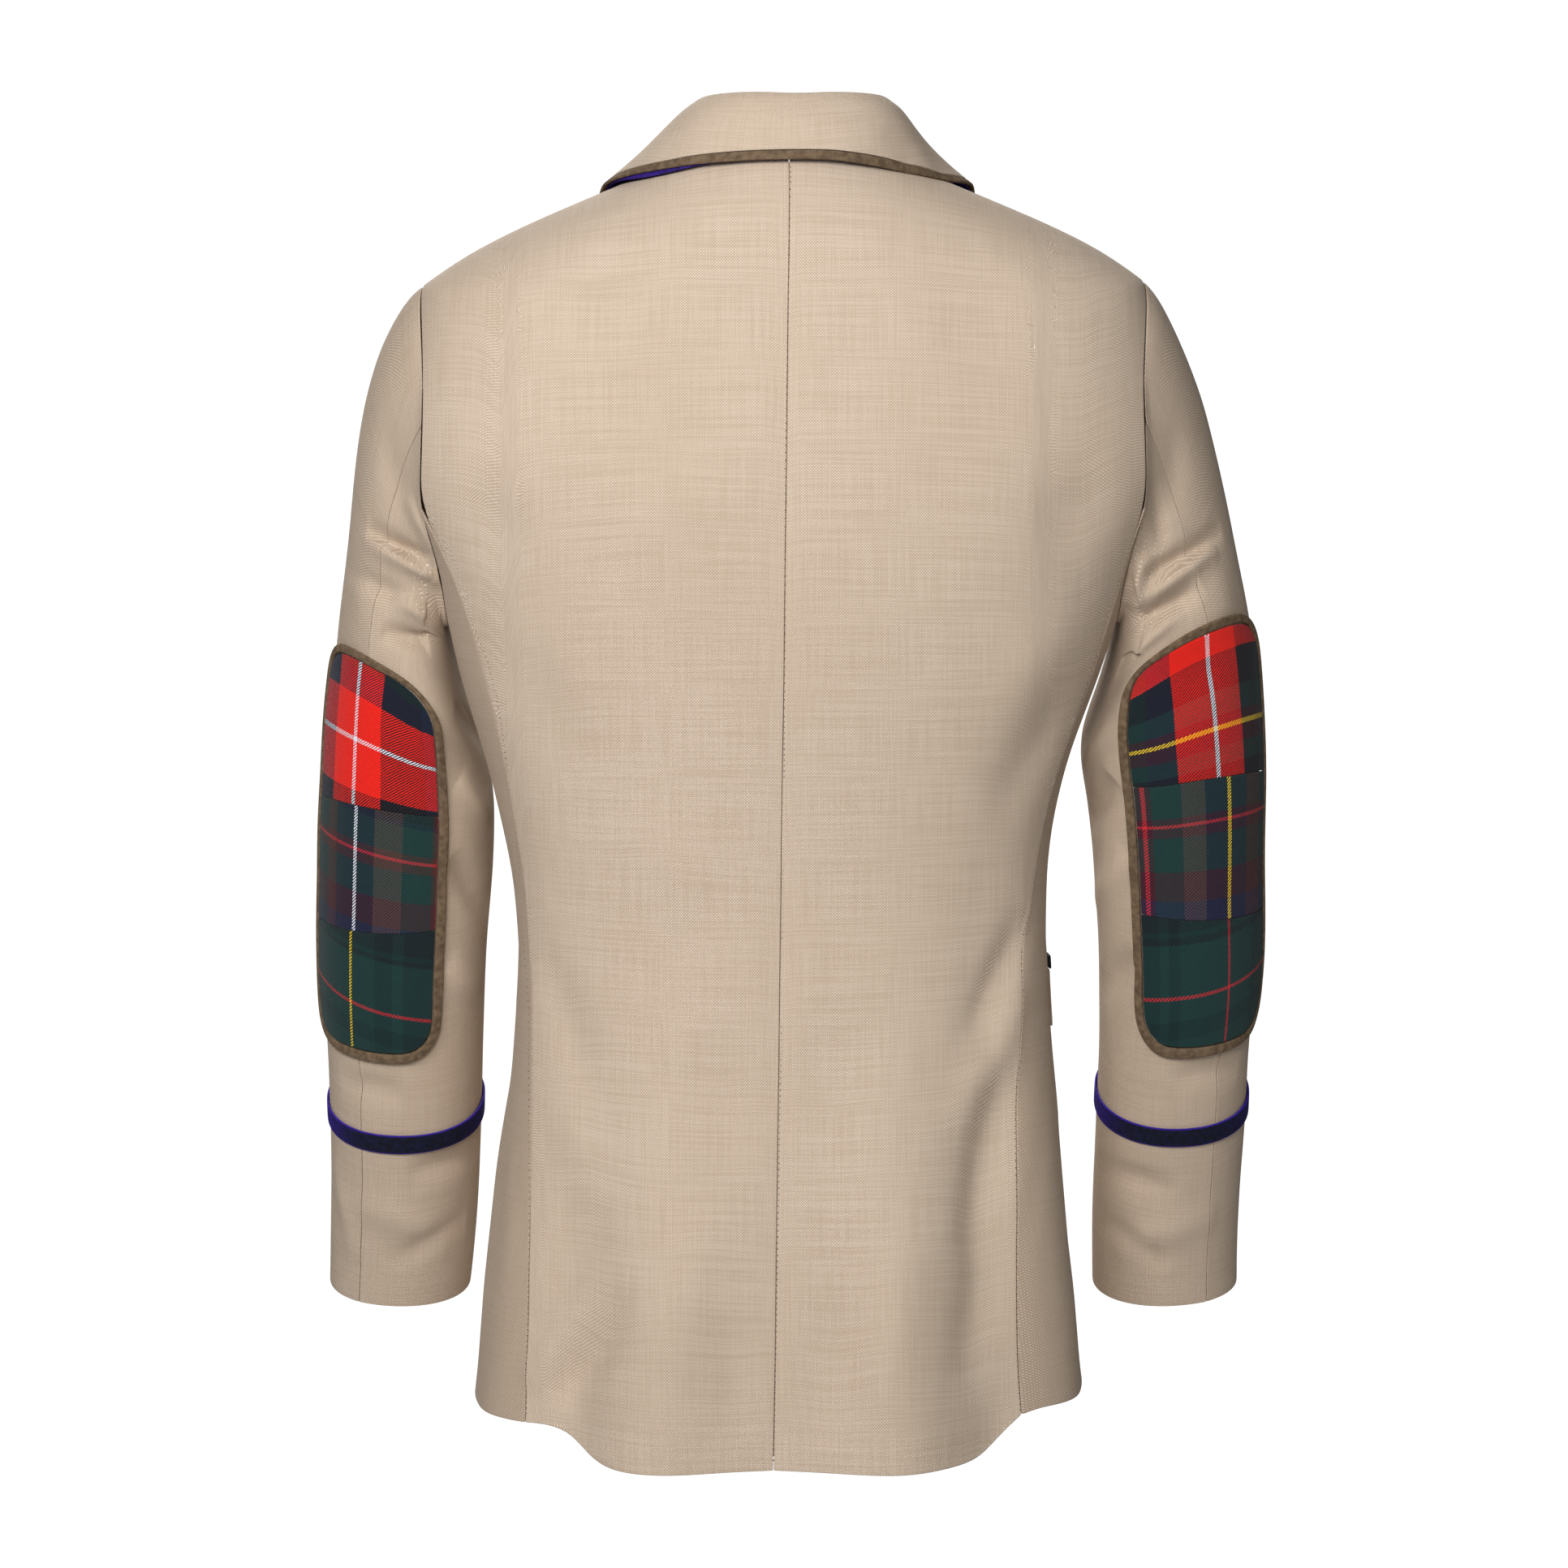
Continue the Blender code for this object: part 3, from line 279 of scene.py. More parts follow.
# %% [markdown]
# ## The jacket cloth
#
# Two threads make the beige: a pale one and a warm darker one. Over a hand's width real cloth also
# changes a little in tone, where it was dyed, pressed or handled. A little sheen stands for the loose
# fibres that catch light at a grazing angle.

# %% Jacket cloth
WEAVE_PITCH = 0.00172
SLUB, WORN = screen(168, 144, 118), screen(186, 162, 136)


def beige_cloth(name, ground, dot):
    material, tree, shader = new_material(name, 0.92, sheen=0.12, sheen_tint=screen(236, 226, 210))
    uv = add(tree, "UVMap").outputs[0]
    weave = use_group(tree, dotted_weave, {"Vector": uv, "Pitch": WEAVE_PITCH})
    colour = blend(tree, weave["Dots"], screen(*ground), screen(*dot))
    colour = blend(tree, spread(tree, weave["Slubs"], 0.40, 0.62, 0.0, 0.32), colour, SLUB)
    broad = grain(tree, on_object(tree), 9.0, 3.0)
    colour = blend(tree, spread(tree, broad, 0.35, 0.70, 0.0, 0.16), colour, WORN)
    surface(tree, shader, colour, weave["Height"], 0.00022, 0.55)
    return material


cloth = beige_cloth("beige two-tone cloth", (194, 173, 152), (240, 226, 210))
# The sleeves get a darker copy of the same cloth: painted shade, for the light that falls off on them.
shaded_sleeve_cloth = beige_cloth("beige two-tone cloth painted darker as shade, sleeves", (184, 163, 142), (230, 215, 198))
# The side panels get a darker copy of the same cloth: painted shade, for the light that falls off on the
# round sides.
shaded_side_cloth = beige_cloth("beige two-tone cloth painted darker as shade, sides", (174, 153, 133), (216, 201, 184))
print("cloth:", cloth.name, "with a thread pitch of", WEAVE_PITCH * 1000, "mm")

# %% [markdown]
# ## Binding, velvet, welt and horn
#
# The patches and the collar are bound with brown felt, which is matt and slightly mottled. The velvet
# is nearly black where one looks into its pile and purple where the pile is seen from the side, which
# is what sheen does. The ribbon's woven edges are brighter. The horn buttons are satin and streaky.

# %% Felt
def napped(tree, scale, deep, pale):
    """The colour and the height of short fibres, between two tones."""
    nap = use_group(tree, fibres, {"Vector": on_object(tree), "Scale": scale})
    return blend(tree, nap["Tone"], screen(*deep), screen(*pale)), nap["Height"]


felt, tree, shader = new_material("brown felt", 0.95, sheen=0.25, sheen_tint=screen(150, 128, 100))
surface(tree, shader, *napped(tree, 260.0, (92, 75, 58), (122, 102, 80)), 0.0005, 0.7)


# %% Velvet
def velvet_cloth(name, edge_width, ribbon_width, deep=(8, 12, 22), pale=(18, 22, 52)):
    """Velvet; a ribbon's edges are brighter over edge_width, measured on its UV map."""
    material, tree, shader = new_material(name, 0.85, sheen=0.55, sheen_tint=screen(86, 40, 225),
                                          sheen_roughness=0.22)
    colour, height = napped(tree, 330.0, deep, pale)
    if ribbon_width:
        across = add(tree, "SeparateXYZ", {0: add(tree, "UVMap").outputs[0]}).outputs[1]
        from_edge = calc(tree, "PINGPONG", across, ribbon_width / 2)
        colour = blend(tree, spread(tree, from_edge, 0.0, edge_width, 1.0, 0.0), colour, screen(58, 34, 160))
    surface(tree, shader, colour, height, 0.0006, 0.8)
    return material


BAND_WIDTH = 0.013
ribbon = velvet_cloth("purple velvet ribbon", 0.0011, BAND_WIDTH)
# The undercollar's velvet has brighter purples than the ribbon's: painted light, standing in for the light it
# lacks in the shade under the collar.
velvet = velvet_cloth("purple velvet", 0.0, 0.0, deep=(34, 20, 88), pale=(62, 38, 140))

# %% Welt, horn and thread
welt, tree, shader = new_material("near-black welt", 0.9, sheen=0.1)
surface(tree, shader, *napped(tree, 420.0, (20, 20, 22), (38, 36, 36)), 0.0003)

horn, tree, shader = new_material("dark horn", 0.38)
streak = grain(tree, stretched(tree, on_object(tree), (500.0, 90.0, 120.0)), 1.0, 4.0)
tone = spread(tree, streak, 0.35, 0.65)
surface(tree, shader, blend(tree, tone, screen(58, 40, 28), screen(112, 82, 56)), streak, 0.0001, 0.3)

thread, tree, shader = new_material("beige thread", 0.8, sheen=0.2)
twist = grain(tree, on_object(tree), 1800.0)
surface(tree, shader, blend(tree, twist, screen(96, 78, 58), screen(128, 108, 84)), twist, 0.0001)
print("materials:", len(bpy.data.materials))

# %% [markdown]
#
# A check is two lists of stripes, one upright and one crosswise, that cross. Each list says where a
# stripe starts, as a share across the patch (0 at the sleeve's outer side) or down it (0 at the top),
# and its colour. A twill group mixes them, so the half tones between the plain squares come by
# themselves. The crosswise stripes run a little askew on the curved sleeve.

# %% Colours of the checks
RED, DEEP_RED = screen(243, 32, 18), screen(205, 40, 52)
BLACK, NAVY, BLUE = screen(20, 20, 28), screen(22, 30, 50), screen(34, 34, 70)
GREEN, PINE = screen(22, 56, 54), screen(16, 42, 44)
BROWN, MAROON, GREY = screen(74, 40, 36), screen(66, 26, 40), screen(78, 66, 62)
WHITE, YELLOW = screen(238, 242, 252), screen(244, 206, 40)
PATCH_LENGTH = 0.270
PATCH_WIDTH = {"left": 0.1046, "right": 0.1104}
TWILL_PITCH = 0.00200
LINE, THIN_LINE = 0.0115, 0.0092              # half the width of a line, as a share across
CROSS_LINE, THIN_CROSS_LINE = 0.0048, 0.00384  # and as a share down


def lined(stripes, *lines):
    """Puts thin lines (middle, half width, colour) into a list of stripes (start, colour)."""
    stops = dict(stripes)
    for middle, half, colour in lines:
        ground = [c for start, c in sorted(stops.items()) if start <= middle][-1]
        stops[middle - half], stops[middle + half] = colour, ground
    return sorted(stops.items())


def stripe_ramp(tree, share, stripes):
    ramp = add(tree, "ValToRGB", {0: share})
    ramp.color_ramp.interpolation = "CONSTANT"
    while len(ramp.color_ramp.elements) < len(stripes):
        ramp.color_ramp.elements.new(1.0)
    for element, (start, colour) in zip(ramp.color_ramp.elements, stripes):
        element.position = min(max(start, 0.0), 1.0)
        element.color = colour
    return ramp.outputs[0]


def check_cloth(colour, end, upright, crosswise, skew):
    material, tree, shader = new_material(colour + " check " + end, 0.9, sheen=0.10)
    uv = add(tree, "UVMap").outputs[0]
    axes = add(tree, "SeparateXYZ", {0: uv}).outputs
    across = calc(tree, "DIVIDE", axes[0], PATCH_WIDTH[end])
    down = calc(tree, "DIVIDE", axes[1], -PATCH_LENGTH)
    askew = calc(tree, "SUBTRACT", down, times(tree, calc(tree, "SUBTRACT", across, 0.5), skew))
    woven = use_group(tree, twill, {
        "Vector": uv, "Pitch": TWILL_PITCH, "Slant": 1.0 if end == "left" else -1.0,
        "Upright": stripe_ramp(tree, across, upright), "Crosswise": stripe_ramp(tree, askew, crosswise)})
    surface(tree, shader, woven["Colour"], woven["Height"], 0.0003, 0.6)
    return material


# %% The six check cloths
checks = {
    "patch_upper_left": check_cloth(
        "red", "left",
        lined([(0, BLACK), (0.06, NAVY), (0.255, RED), (0.61, BLACK), (0.86, NAVY)],
              (0.435, LINE, WHITE), (0.955, LINE, YELLOW)),
        lined([(0, PINE), (0.045, NAVY), (0.115, RED), (0.355, BLACK)], (0.226, CROSS_LINE, WHITE)), 0.05),
    "patch_middle_left": check_cloth(
        "blue", "left",
        lined([(0, PINE), (0.22, BROWN), (0.31, NAVY), (0.585, GREY), (0.735, GREEN), (0.90, BROWN)],
              (0.46, LINE, WHITE), (0.935, THIN_LINE, DEEP_RED)),
        lined([(0, BLACK), (0.390, NAVY), (0.405, GREEN), (0.475, BROWN), (0.520, GREEN), (0.595, MAROON),
               (0.662, BLUE)], (0.494, CROSS_LINE, DEEP_RED)), 0.07),
    "patch_lower_left": check_cloth(
        "green", "left",
        lined([(0, PINE), (0.15, GREEN), (0.60, PINE), (0.70, GREEN), (0.76, PINE)],
              (0.44, THIN_LINE, YELLOW)),
        lined([(0, BLACK), (0.715, PINE), (0.730, BLACK), (0.742, GREEN), (0.90, PINE), (0.94, GREEN)],
              (0.862, THIN_CROSS_LINE, DEEP_RED)), 0.09),
    "patch_upper_right": check_cloth(
        "red", "right",
        lined([(0, PINE), (0.15, BLACK), (0.315, RED), (0.70, NAVY), (0.84, PINE)], (0.495, LINE, WHITE)),
        lined([(0, RED), (0.083, BLACK), (0.175, GREEN), (0.232, MAROON), (0.308, GREEN), (0.350, BLACK)],
              (0.262, CROSS_LINE, YELLOW)), 0.04),
    "patch_middle_right": check_cloth(
        "blue", "right",
        lined([(0, PINE), (0.16, BROWN), (0.30, NAVY), (0.575, GREY), (0.695, GREEN), (0.845, MAROON),
               (0.93, PINE)], (0.43, LINE, YELLOW), (0.89, LINE, DEEP_RED)),
        lined([(0, GREEN), (0.455, MAROON), (0.503, GREEN), (0.583, MAROON), (0.652, BLUE)],
              (0.475, CROSS_LINE, DEEP_RED)), 0.03),
    "patch_lower_right": check_cloth(
        "green", "right",
        lined([(0, PINE), (0.25, GREEN), (0.72, PINE), (0.78, GREEN), (0.83, PINE)],
              (0.435, THIN_LINE, DEEP_RED)),
        lined([(0, BLACK), (0.708, PINE), (0.722, BLACK), (0.735, GREEN), (0.90, PINE), (0.94, GREEN)],
              (0.850, THIN_CROSS_LINE, DEEP_RED)), 0.07)}
print("checks:", ", ".join(checks))

# %% [markdown]
# ## Where a point lies on a sleeve
#
# The weave and the checks have to follow the sleeve, so each point of a sleeve needs to know how far
# round the arm and how far down the sleeve it is. The sleeve's rings are given by a short table. A
# grid of turns and reaches is laid on them, and any point then looks up the nearest place on it.

# %% The sleeve's form
SLEEVE_NAMES = "reach outer_x outer_z inner_x inner_z middle_y depth tilt swing_out swing_in".split()
SLEEVE_RINGS = np.array((
    (0.000, 0.2235, -0.0755, 0.2105, -0.2960, 0.000, 0.0680, 0, 0.000, 0.000),
    (0.012, 0.2345, -0.0785, 0.2118, -0.3050, -0.003, 0.0685, 0, 0.000, -0.001),
    (0.040, 0.2485, -0.1040, 0.2100, -0.3180, -0.010, 0.0690, 2, -0.003, -0.002),
    (0.100, 0.2665, -0.1600, 0.2035, -0.3330, -0.022, 0.0700, 4, 0.001, -0.004),
    (0.170, 0.2765, -0.2380, 0.1975, -0.3500, -0.030, 0.0700, 7, 0.010, -0.005),
    (0.235, 0.2850, -0.3000, 0.1915, -0.3740, -0.034, 0.0680, 10, 0.014, -0.002),
    (0.300, 0.2920, -0.3640, 0.1855, -0.4080, -0.036, 0.0640, 13, 0.012, 0.009),
    (0.370, 0.2960, -0.4360, 0.1875, -0.4540, -0.038, 0.0600, 16, 0.009, 0.012),
    (0.440, 0.2980, -0.5080, 0.1925, -0.5130, -0.044, 0.0555, 19, 0.008, 0.011),
    (0.505, 0.2970, -0.5700, 0.1955, -0.5720, -0.055, 0.0520, 22, 0.005, 0.009),
    (0.560, 0.2970, -0.6240, 0.1980, -0.6250, -0.068, 0.0495, 22, 0.005, 0.006),
    (0.620, 0.3000, -0.6840, 0.2025, -0.6850, -0.084, 0.0475, 16, 0.000, 0.001),
    (0.665, 0.3024, -0.7290, 0.2080, -0.7330, -0.094, 0.0460, 11, -0.001, -0.003)))
SLEEVE_LENGTH, SLEEVE_RADIUS, SLEEVE_SQUARE = 0.665, 0.056, 2.15  # square: 2 is an oval, more is squarer


def smooth_steps(keys, values, key):
    """A smooth value between the rows of a table, which never overshoots them."""
    index = min(max(int(np.searchsorted(keys, key, side="right")) - 1, 0), len(keys) - 2)
    slopes = np.diff(values) / np.diff(keys)

    def tangent(row):
        if row in (0, len(keys) - 1):
            return slopes[min(row, len(slopes) - 1)]
        before, after = slopes[row - 1], slopes[row]
        return 0.0 if before * after <= 0 else 2 * before * after / (before + after)

    step = keys[index + 1] - keys[index]
    t = (key - keys[index]) / step
    return (values[index] * (1 + 2 * t) * (1 - t) ** 2 + values[index + 1] * t * t * (3 - 2 * t)
            + tangent(index) * step * t * (1 - t) ** 2 - tangent(index + 1) * step * t * t * (1 - t))


def sleeve_ring(side, reach):
    row = {name: smooth_steps(SLEEVE_RINGS[:, 0], values, reach)
           for name, values in zip(SLEEVE_NAMES, SLEEVE_RINGS.T)}
    right = 1 if side < 0 else 0
    outer = np.array([row["outer_x"] + right * row["swing_out"], row["outer_z"]])
    inner = np.array([row["inner_x"] + right * row["swing_in"], row["inner_z"]])
    return row, (outer + inner) / 2, (outer - inner) / 2


def sleeve_place(side, turn, reach):
    """A point of the sleeve: turn is 0 at its outer side, 90 at the back and 180 inside."""
    row, middle, half = sleeve_ring(side, reach)
    sine, cosine = math.sin(math.radians(turn)), math.cos(math.radians(turn))
    sine, cosine = [math.copysign(abs(v) ** (2 / SLEEVE_SQUARE), v) for v in (sine, cosine)]
    x, z = middle + half * cosine
    tilt = math.radians(row["tilt"])
    return Vector((side * x, row["middle_y"] + row["depth"] * sine * math.cos(tilt),
                   z - row["depth"] * sine * math.sin(tilt)))


# %% The lookup
TURN_STEP, REACH_COUNT, RING_COUNT = 7.5, 62, 40


def sleeve_lookup(side, first, last):
    """A function from points to (turn, reach) on one stretch of a sleeve."""
    turns = np.arange(first, last + 1, TURN_STEP)
    reaches = np.linspace(0.0, SLEEVE_LENGTH, REACH_COUNT)
    places = [(turn, reach) for reach in reaches for turn in turns]
    verts = [sleeve_place(side, *place) for place in places]
    across = len(turns)
    quads = [(i * across + j, i * across + j + 1, (i + 1) * across + j + 1, (i + 1) * across + j)
             for i in range(len(reaches) - 1) for j in range(across - 1)]
    tree = BVHTree.FromPolygons(verts, quads)

    def find(points):
        found = []
        for point in points:
            spot, _, index, _ = tree.find_nearest(Vector(point))
            corners = quads[index]
            weights = poly_3d_calc([verts[c] for c in corners], spot)
            found.append([sum(w * places[c][k] for w, c in zip(weights, corners)) for k in (0, 1)])
        return np.array(found)
    return find


STRETCHES = {"sleeve_top": (-157.5, 97.5), "sleeve_under": (37.5, 262.5), "patch": (-15, 165),
             "sleeve_band": (-180, 180)}
lookups = {(kind, side): sleeve_lookup(side, *span) for kind, span in STRETCHES.items() for side in (1, -1)}
print("turn and reach of a point:", lookups[("patch", 1)]([(0.25, 0.01, -0.45)]).round(3))

# %% [markdown]
# ## Creases
#
# Cloth that has been worn hangs with soft troughs and ridges. Each one here is a line with a width and
# a height, never quite like its neighbour. Those that are seen from behind are given by the pixel
# where they lie in the camera's frame, and a ray finds the cloth there. Those on the hidden sides are
# given in metres. A row holds one crease: the place where it starts, the place where it ends, its
# width and its height, the last two in millimetres. Ridges are positive.

# %% The crease tables
BODY_CREASES = (
    (968, 250, 962, 900, 8.5, -1.3), (962, 900, 954, 1800, 9.3, -1.7), (700, 335, 800, 420, 28.9, -3.7),
    (1240, 330, 1160, 430, 30.6, -3.2), (560, 600, 650, 690, 22.1, -3.7), (1370, 580, 1290, 680, 22.1, -4.1),
    (620, 790, 720, 960, 25.5, -3.2), (1330, 760, 1215, 880, 22.1, 3.7), (1320, 850, 1225, 1010, 18.7, -4.1),
    (760, 1020, 880, 1100, 27.2, 2.8), (1264, 1130, 1196, 1300, 11.9, -7.8),
    (1256, 1210, 1172, 1400, 13.6, 5.5), (1244, 1310, 1190, 1560, 15.3, -6.9),
    (1215, 1500, 1180, 1740, 17.0, -4.6), (668, 1170, 720, 1330, 15.3, -4.1),
    (690, 1330, 745, 1500, 18.7, 3.7), (780, 1610, 690, 1735, 11.9, -6.0), (735, 1570, 655, 1715, 10.2, 5.1),
    (880, 1480, 820, 1700, 18.7, 4.1), (850, 1290, 930, 1420, 25.5, -3.2),
    (1040, 1230, 1000, 1500, 23.8, -2.8), (1110, 1520, 1090, 1760, 17.0, 4.1),
    (1030, 1600, 1020, 1790, 15.3, -3.7), (900, 1620, 905, 1780, 13.6, -2.8),
    (840, 330, 1100, 352, 18.7, -2.3), (860, 560, 760, 700, 34.0, 2.8),
    (0.1, -0.12, -0.2, 0.03, -0.12, -0.33, 17.0, -3.6),
    (-0.11, -0.12, -0.19, -0.04, -0.12, -0.31, 18.7, -3.0),
    (0.02, -0.12, -0.455, 0.13, -0.1, -0.405, 10.2, -3.3),
    (-0.02, -0.12, -0.455, -0.13, -0.1, -0.4, 11.0, -3.9),
    (0.01, -0.12, -0.565, 0.12, -0.1, -0.66, 17.0, 3.6),
    (-0.03, -0.12, -0.57, -0.13, -0.1, -0.68, 18.7, -3.3),
    (0.17, -0.04, -0.36, 0.16, 0.02, -0.52, 11.9, -3.3),
    (-0.17, -0.05, -0.37, -0.165, 0.01, -0.5, 12.7, -3.6), (0.18, 0, -0.58, 0.19, 0.03, -0.76, 17.0, 3.3),
    (-0.18, 0, -0.6, -0.19, 0.02, -0.77, 15.3, -3.0))
LEFT_CREASES = (
    (452, 648, 530, 694, 5.0, -9.1), (446, 668, 548, 716, 5.4, 6.4), (428, 700, 505, 742, 6.5, -5.7),
    (480, 735, 565, 775, 5.8, 5.5), (470, 775, 570, 812, 5.8, -9.1), (500, 610, 530, 680, 5.0, 4.2),
    (470, 520, 500, 640, 10.1, -3.5), (560, 870, 608, 930, 8.6, -7.1), (566, 960, 610, 1010, 8.6, 5.0),
    (552, 1060, 602, 1120, 9.4, -6.1), (548, 1190, 598, 1230, 10.1, 3.8), (420, 1335, 500, 1350, 8.6, -3.5),
    (500, 1450, 590, 1420, 8.6, -4.6), (430, 1480, 560, 1530, 10.8, 2.9), (480, 1560, 575, 1500, 7.9, -3.5),
    (410, 1420, 440, 1560, 8.6, 2.5), (0.285, -0.085, -0.36, 0.215, -0.1, -0.41, 7.2, -4.4),
    (0.29, -0.09, -0.41, 0.215, -0.105, -0.46, 7.9, 3.6),
    (0.29, -0.095, -0.45, 0.22, -0.11, -0.5, 7.2, -3.9),
    (0.27, -0.085, -0.25, 0.22, -0.07, -0.31, 10.1, -3.1),
    (0.295, -0.11, -0.58, 0.225, -0.115, -0.62, 10.1, -2.3))
RIGHT_CREASES = (
    (1414, 680, 1392, 752, 5.4, 6.4), (1506, 652, 1408, 716, 5.8, -8.1), (1500, 676, 1400, 744, 5.8, 6.4),
    (1480, 720, 1386, 786, 5.8, -8.6), (1455, 748, 1382, 812, 5.4, 5.5), (1400, 800, 1366, 862, 6.5, -9.1),
    (1420, 590, 1432, 680, 6.5, -4.6), (1450, 520, 1440, 640, 10.8, -3.0), (1366, 880, 1334, 940, 8.6, 5.0),
    (1370, 960, 1342, 1010, 9.4, -6.7), (1390, 1050, 1350, 1110, 9.4, 4.2),
    (1400, 1180, 1356, 1220, 10.1, -5.1), (1440, 1330, 1525, 1318, 8.6, -3.5),
    (1352, 1440, 1450, 1470, 8.6, -4.6), (1370, 1540, 1500, 1500, 10.8, 2.9),
    (1352, 1500, 1440, 1560, 7.9, -3.5), (-0.29, -0.085, -0.35, -0.215, -0.1, -0.4, 7.2, 3.9),
    (-0.292, -0.09, -0.395, -0.215, -0.105, -0.44, 7.9, -4.4),
    (-0.295, -0.095, -0.44, -0.22, -0.11, -0.495, 7.2, 3.1),
    (-0.275, -0.085, -0.24, -0.22, -0.07, -0.3, 10.1, -3.4),
    (-0.295, -0.11, -0.57, -0.225, -0.115, -0.63, 10.1, -2.1))
COLLAR_CREASES = (
    (925, 170, 1062, 160, 6.0, -1.3), (940, 150, 1050, 146, 7.0, 0.8), (850, 165, 800, 205, 10.0, -1.0),
    (1090, 160, 1140, 195, 9.0, -1.0))


# %% From a pixel to the cloth
def nodes_like(*starts):
    return [name for name in sorted(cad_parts) if name.startswith(starts)]


def trees_of(names):
    depsgraph = bpy.context.evaluated_depsgraph_get()
    return [BVHTree.FromObject(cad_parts[name], depsgraph) for name in names]


def on_cloth(pixel, trees):
    """The first point of the cloth that the camera sees at a pixel."""
    half = FRAME_PIXELS / 2
    ray = LOOK @ Vector(((pixel[0] - half) / FOCAL_PIXELS, (half - pixel[1]) / FOCAL_PIXELS, -1.0))
    hits = [hit for hit in (tree.ray_cast(EYE, ray) for tree in trees) if hit[0] is not None]
    return min(hits, key=lambda hit: hit[3])[0] if hits else None


CREASE_STEPS = 9


def placed(creases, names):
    """Each crease as a row of points that follows the cloth, with its width and height in metres."""
    trees, made = trees_of(names), []
    for *line, width, height in creases:
        start, end = np.reshape(line, (2, -1))
        row = np.linspace(start, end, CREASE_STEPS)
        if len(start) == 3:
            row = [min((tree.find_nearest(Vector(spot)) for tree in trees), key=lambda hit: hit[3])[0]
                   for spot in row]
        else:
            row = [on_cloth(spot, trees) for spot in row]
        row = [np.array(spot) for spot in row if spot is not None]
        if len(row) > 2:
            made.append((row, width / 1000, height / 1000))
    print("creases:", len(made), "of", len(creases), "on", names[0])
    return made


BODY_NODES = nodes_like("back_", "side_", "front_")
body_trees = trees_of(BODY_NODES)
fields = {"body": placed(BODY_CREASES, BODY_NODES),
          "left": placed(LEFT_CREASES, ["sleeve_top_left", "sleeve_under_left"]),
          "right": placed(RIGHT_CREASES, ["sleeve_top_right", "sleeve_under_right"]),
          "collar": placed(COLLAR_CREASES, ["collar_fall"])}


# %% How far a crease moves the cloth
def crease_height(points, creases):
    """The sum of all creases at each point. A crease is deepest in its middle and runs out at its ends."""
    height = np.zeros(len(points))
    for row, width, lift in creases:
        low, high = np.min(row, axis=0) - 3 * width, np.max(row, axis=0) + 3 * width
        near = np.flatnonzero(np.all((points > low) & (points < high), axis=1))
        spots = points[near]
        away, share = np.full(len(near), 1.0), np.zeros(len(near))
        for index, (start, end) in enumerate(zip(row, row[1:])):
            line = end - start
            along = np.clip((spots - start) @ line / (line @ line), 0, 1)
            gap = np.linalg.norm(spots - start - along[:, None] * line, axis=1)
            closer = gap < away
            away[closer], share[closer] = gap[closer], (index + along[closer]) / (len(row) - 1)
        height[near] += lift * np.exp(-(away / width) ** 2) * np.sin(math.pi * share) ** 0.7
    return height


WAVE_SIZE, WAVE_HEIGHT = 0.055, 0.0006


def unevenness(points, amount=WAVE_HEIGHT):
    """A slow, faint wave all over, so that no stretch of cloth is perfectly smooth."""
    return amount * np.array([noise.noise(Vector(p) / WAVE_SIZE) for p in points])


# %% [markdown]
# ## From a solid to a piece of cloth
#
# A solid's mesh is loose triangles with sharp rims. Its doubles are merged, its triangles are paired
# into four-sided faces, its rims are bevelled so that the cloth turns softly into each seam, and a
# subdivision surface makes it round. Both skins of the wall are then moved together, away from the
# middle of the body or the arm, by the creases. The result is a thin shell on the solid's own form.


# %% A soft wall of cloth
WELD, SHARP, FLAT, SKEWED = 0.00001, math.radians(50), math.radians(40), math.radians(100)


def soft_mesh(node, rounding, levels):
    bm = bmesh.new()
    bm.from_mesh(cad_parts[node].data)
    bmesh.ops.remove_doubles(bm, verts=bm.verts, dist=WELD)
    bmesh.ops.join_triangles(bm, faces=bm.faces, angle_face_threshold=FLAT, angle_shape_threshold=SKEWED)
    sharp = [edge for edge in bm.edges if edge.is_manifold and edge.calc_face_angle(0) > SHARP]
    bmesh.ops.bevel(bm, geom=sharp, offset=rounding, segments=2, profile=0.5, affect="EDGES", material=-1,
                    clamp_overlap=True)
    rough = bpy.data.objects.new("rough", bpy.data.meshes.new("rough"))
    bm.to_mesh(rough.data)
    bm.free()
    scene.collection.objects.link(rough)
    soft = rough.modifiers.new("soft", "SUBSURF")
    soft.levels = soft.render_levels = levels
    depsgraph = bpy.context.evaluated_depsgraph_get()
    mesh = bpy.data.meshes.new_from_object(rough.evaluated_get(depsgraph))
    bpy.data.objects.remove(rough)
    return mesh


def coordinates(mesh):
    points = np.empty(len(mesh.vertices) * 3)
    mesh.vertices.foreach_get("co", points)
    return points.reshape(-1, 3)


def lay_uv(mesh, places):
    """Gives each corner of each face the place of its vertex, in metres."""
    corners = np.empty(len(mesh.loops), dtype=np.int64)
    mesh.loops.foreach_get("vertex_index", corners)
    layer = mesh.uv_layers.new(name="UVMap")
    layer.data.foreach_set("uv", np.ascontiguousarray(places[corners], dtype=np.float32).ravel())


def unit(vectors):
    return vectors / np.maximum(np.linalg.norm(vectors, axis=1, keepdims=True), 1e-9)


# %% Places and ways out for each kind of piece
BODY_SPAN, COLLAR_SPAN = np.array((0.19, 0.115)), np.array((0.080, 0.072))
COLLAR_RISE, COLLAR_RADIUS = 0.6, 0.10


def ring_out(points, span):
    """Level directions straight out of an oval with these half widths."""
    flat = np.zeros_like(points)
    flat[:, :2] = points[:, :2] / span ** 2
    return unit(flat)


def body_out(points, node):
    return ring_out(points, BODY_SPAN)


def collar_out(points, node):
    return unit(ring_out(points, COLLAR_SPAN) + np.array((0, 0, COLLAR_RISE)))


def collar_uv(points, node):
    angle = np.arctan2(points[:, 0], points[:, 1])
    return np.stack([angle * COLLAR_RADIUS, points[:, 2] - np.hypot(points[:, 0], points[:, 1])], axis=1)


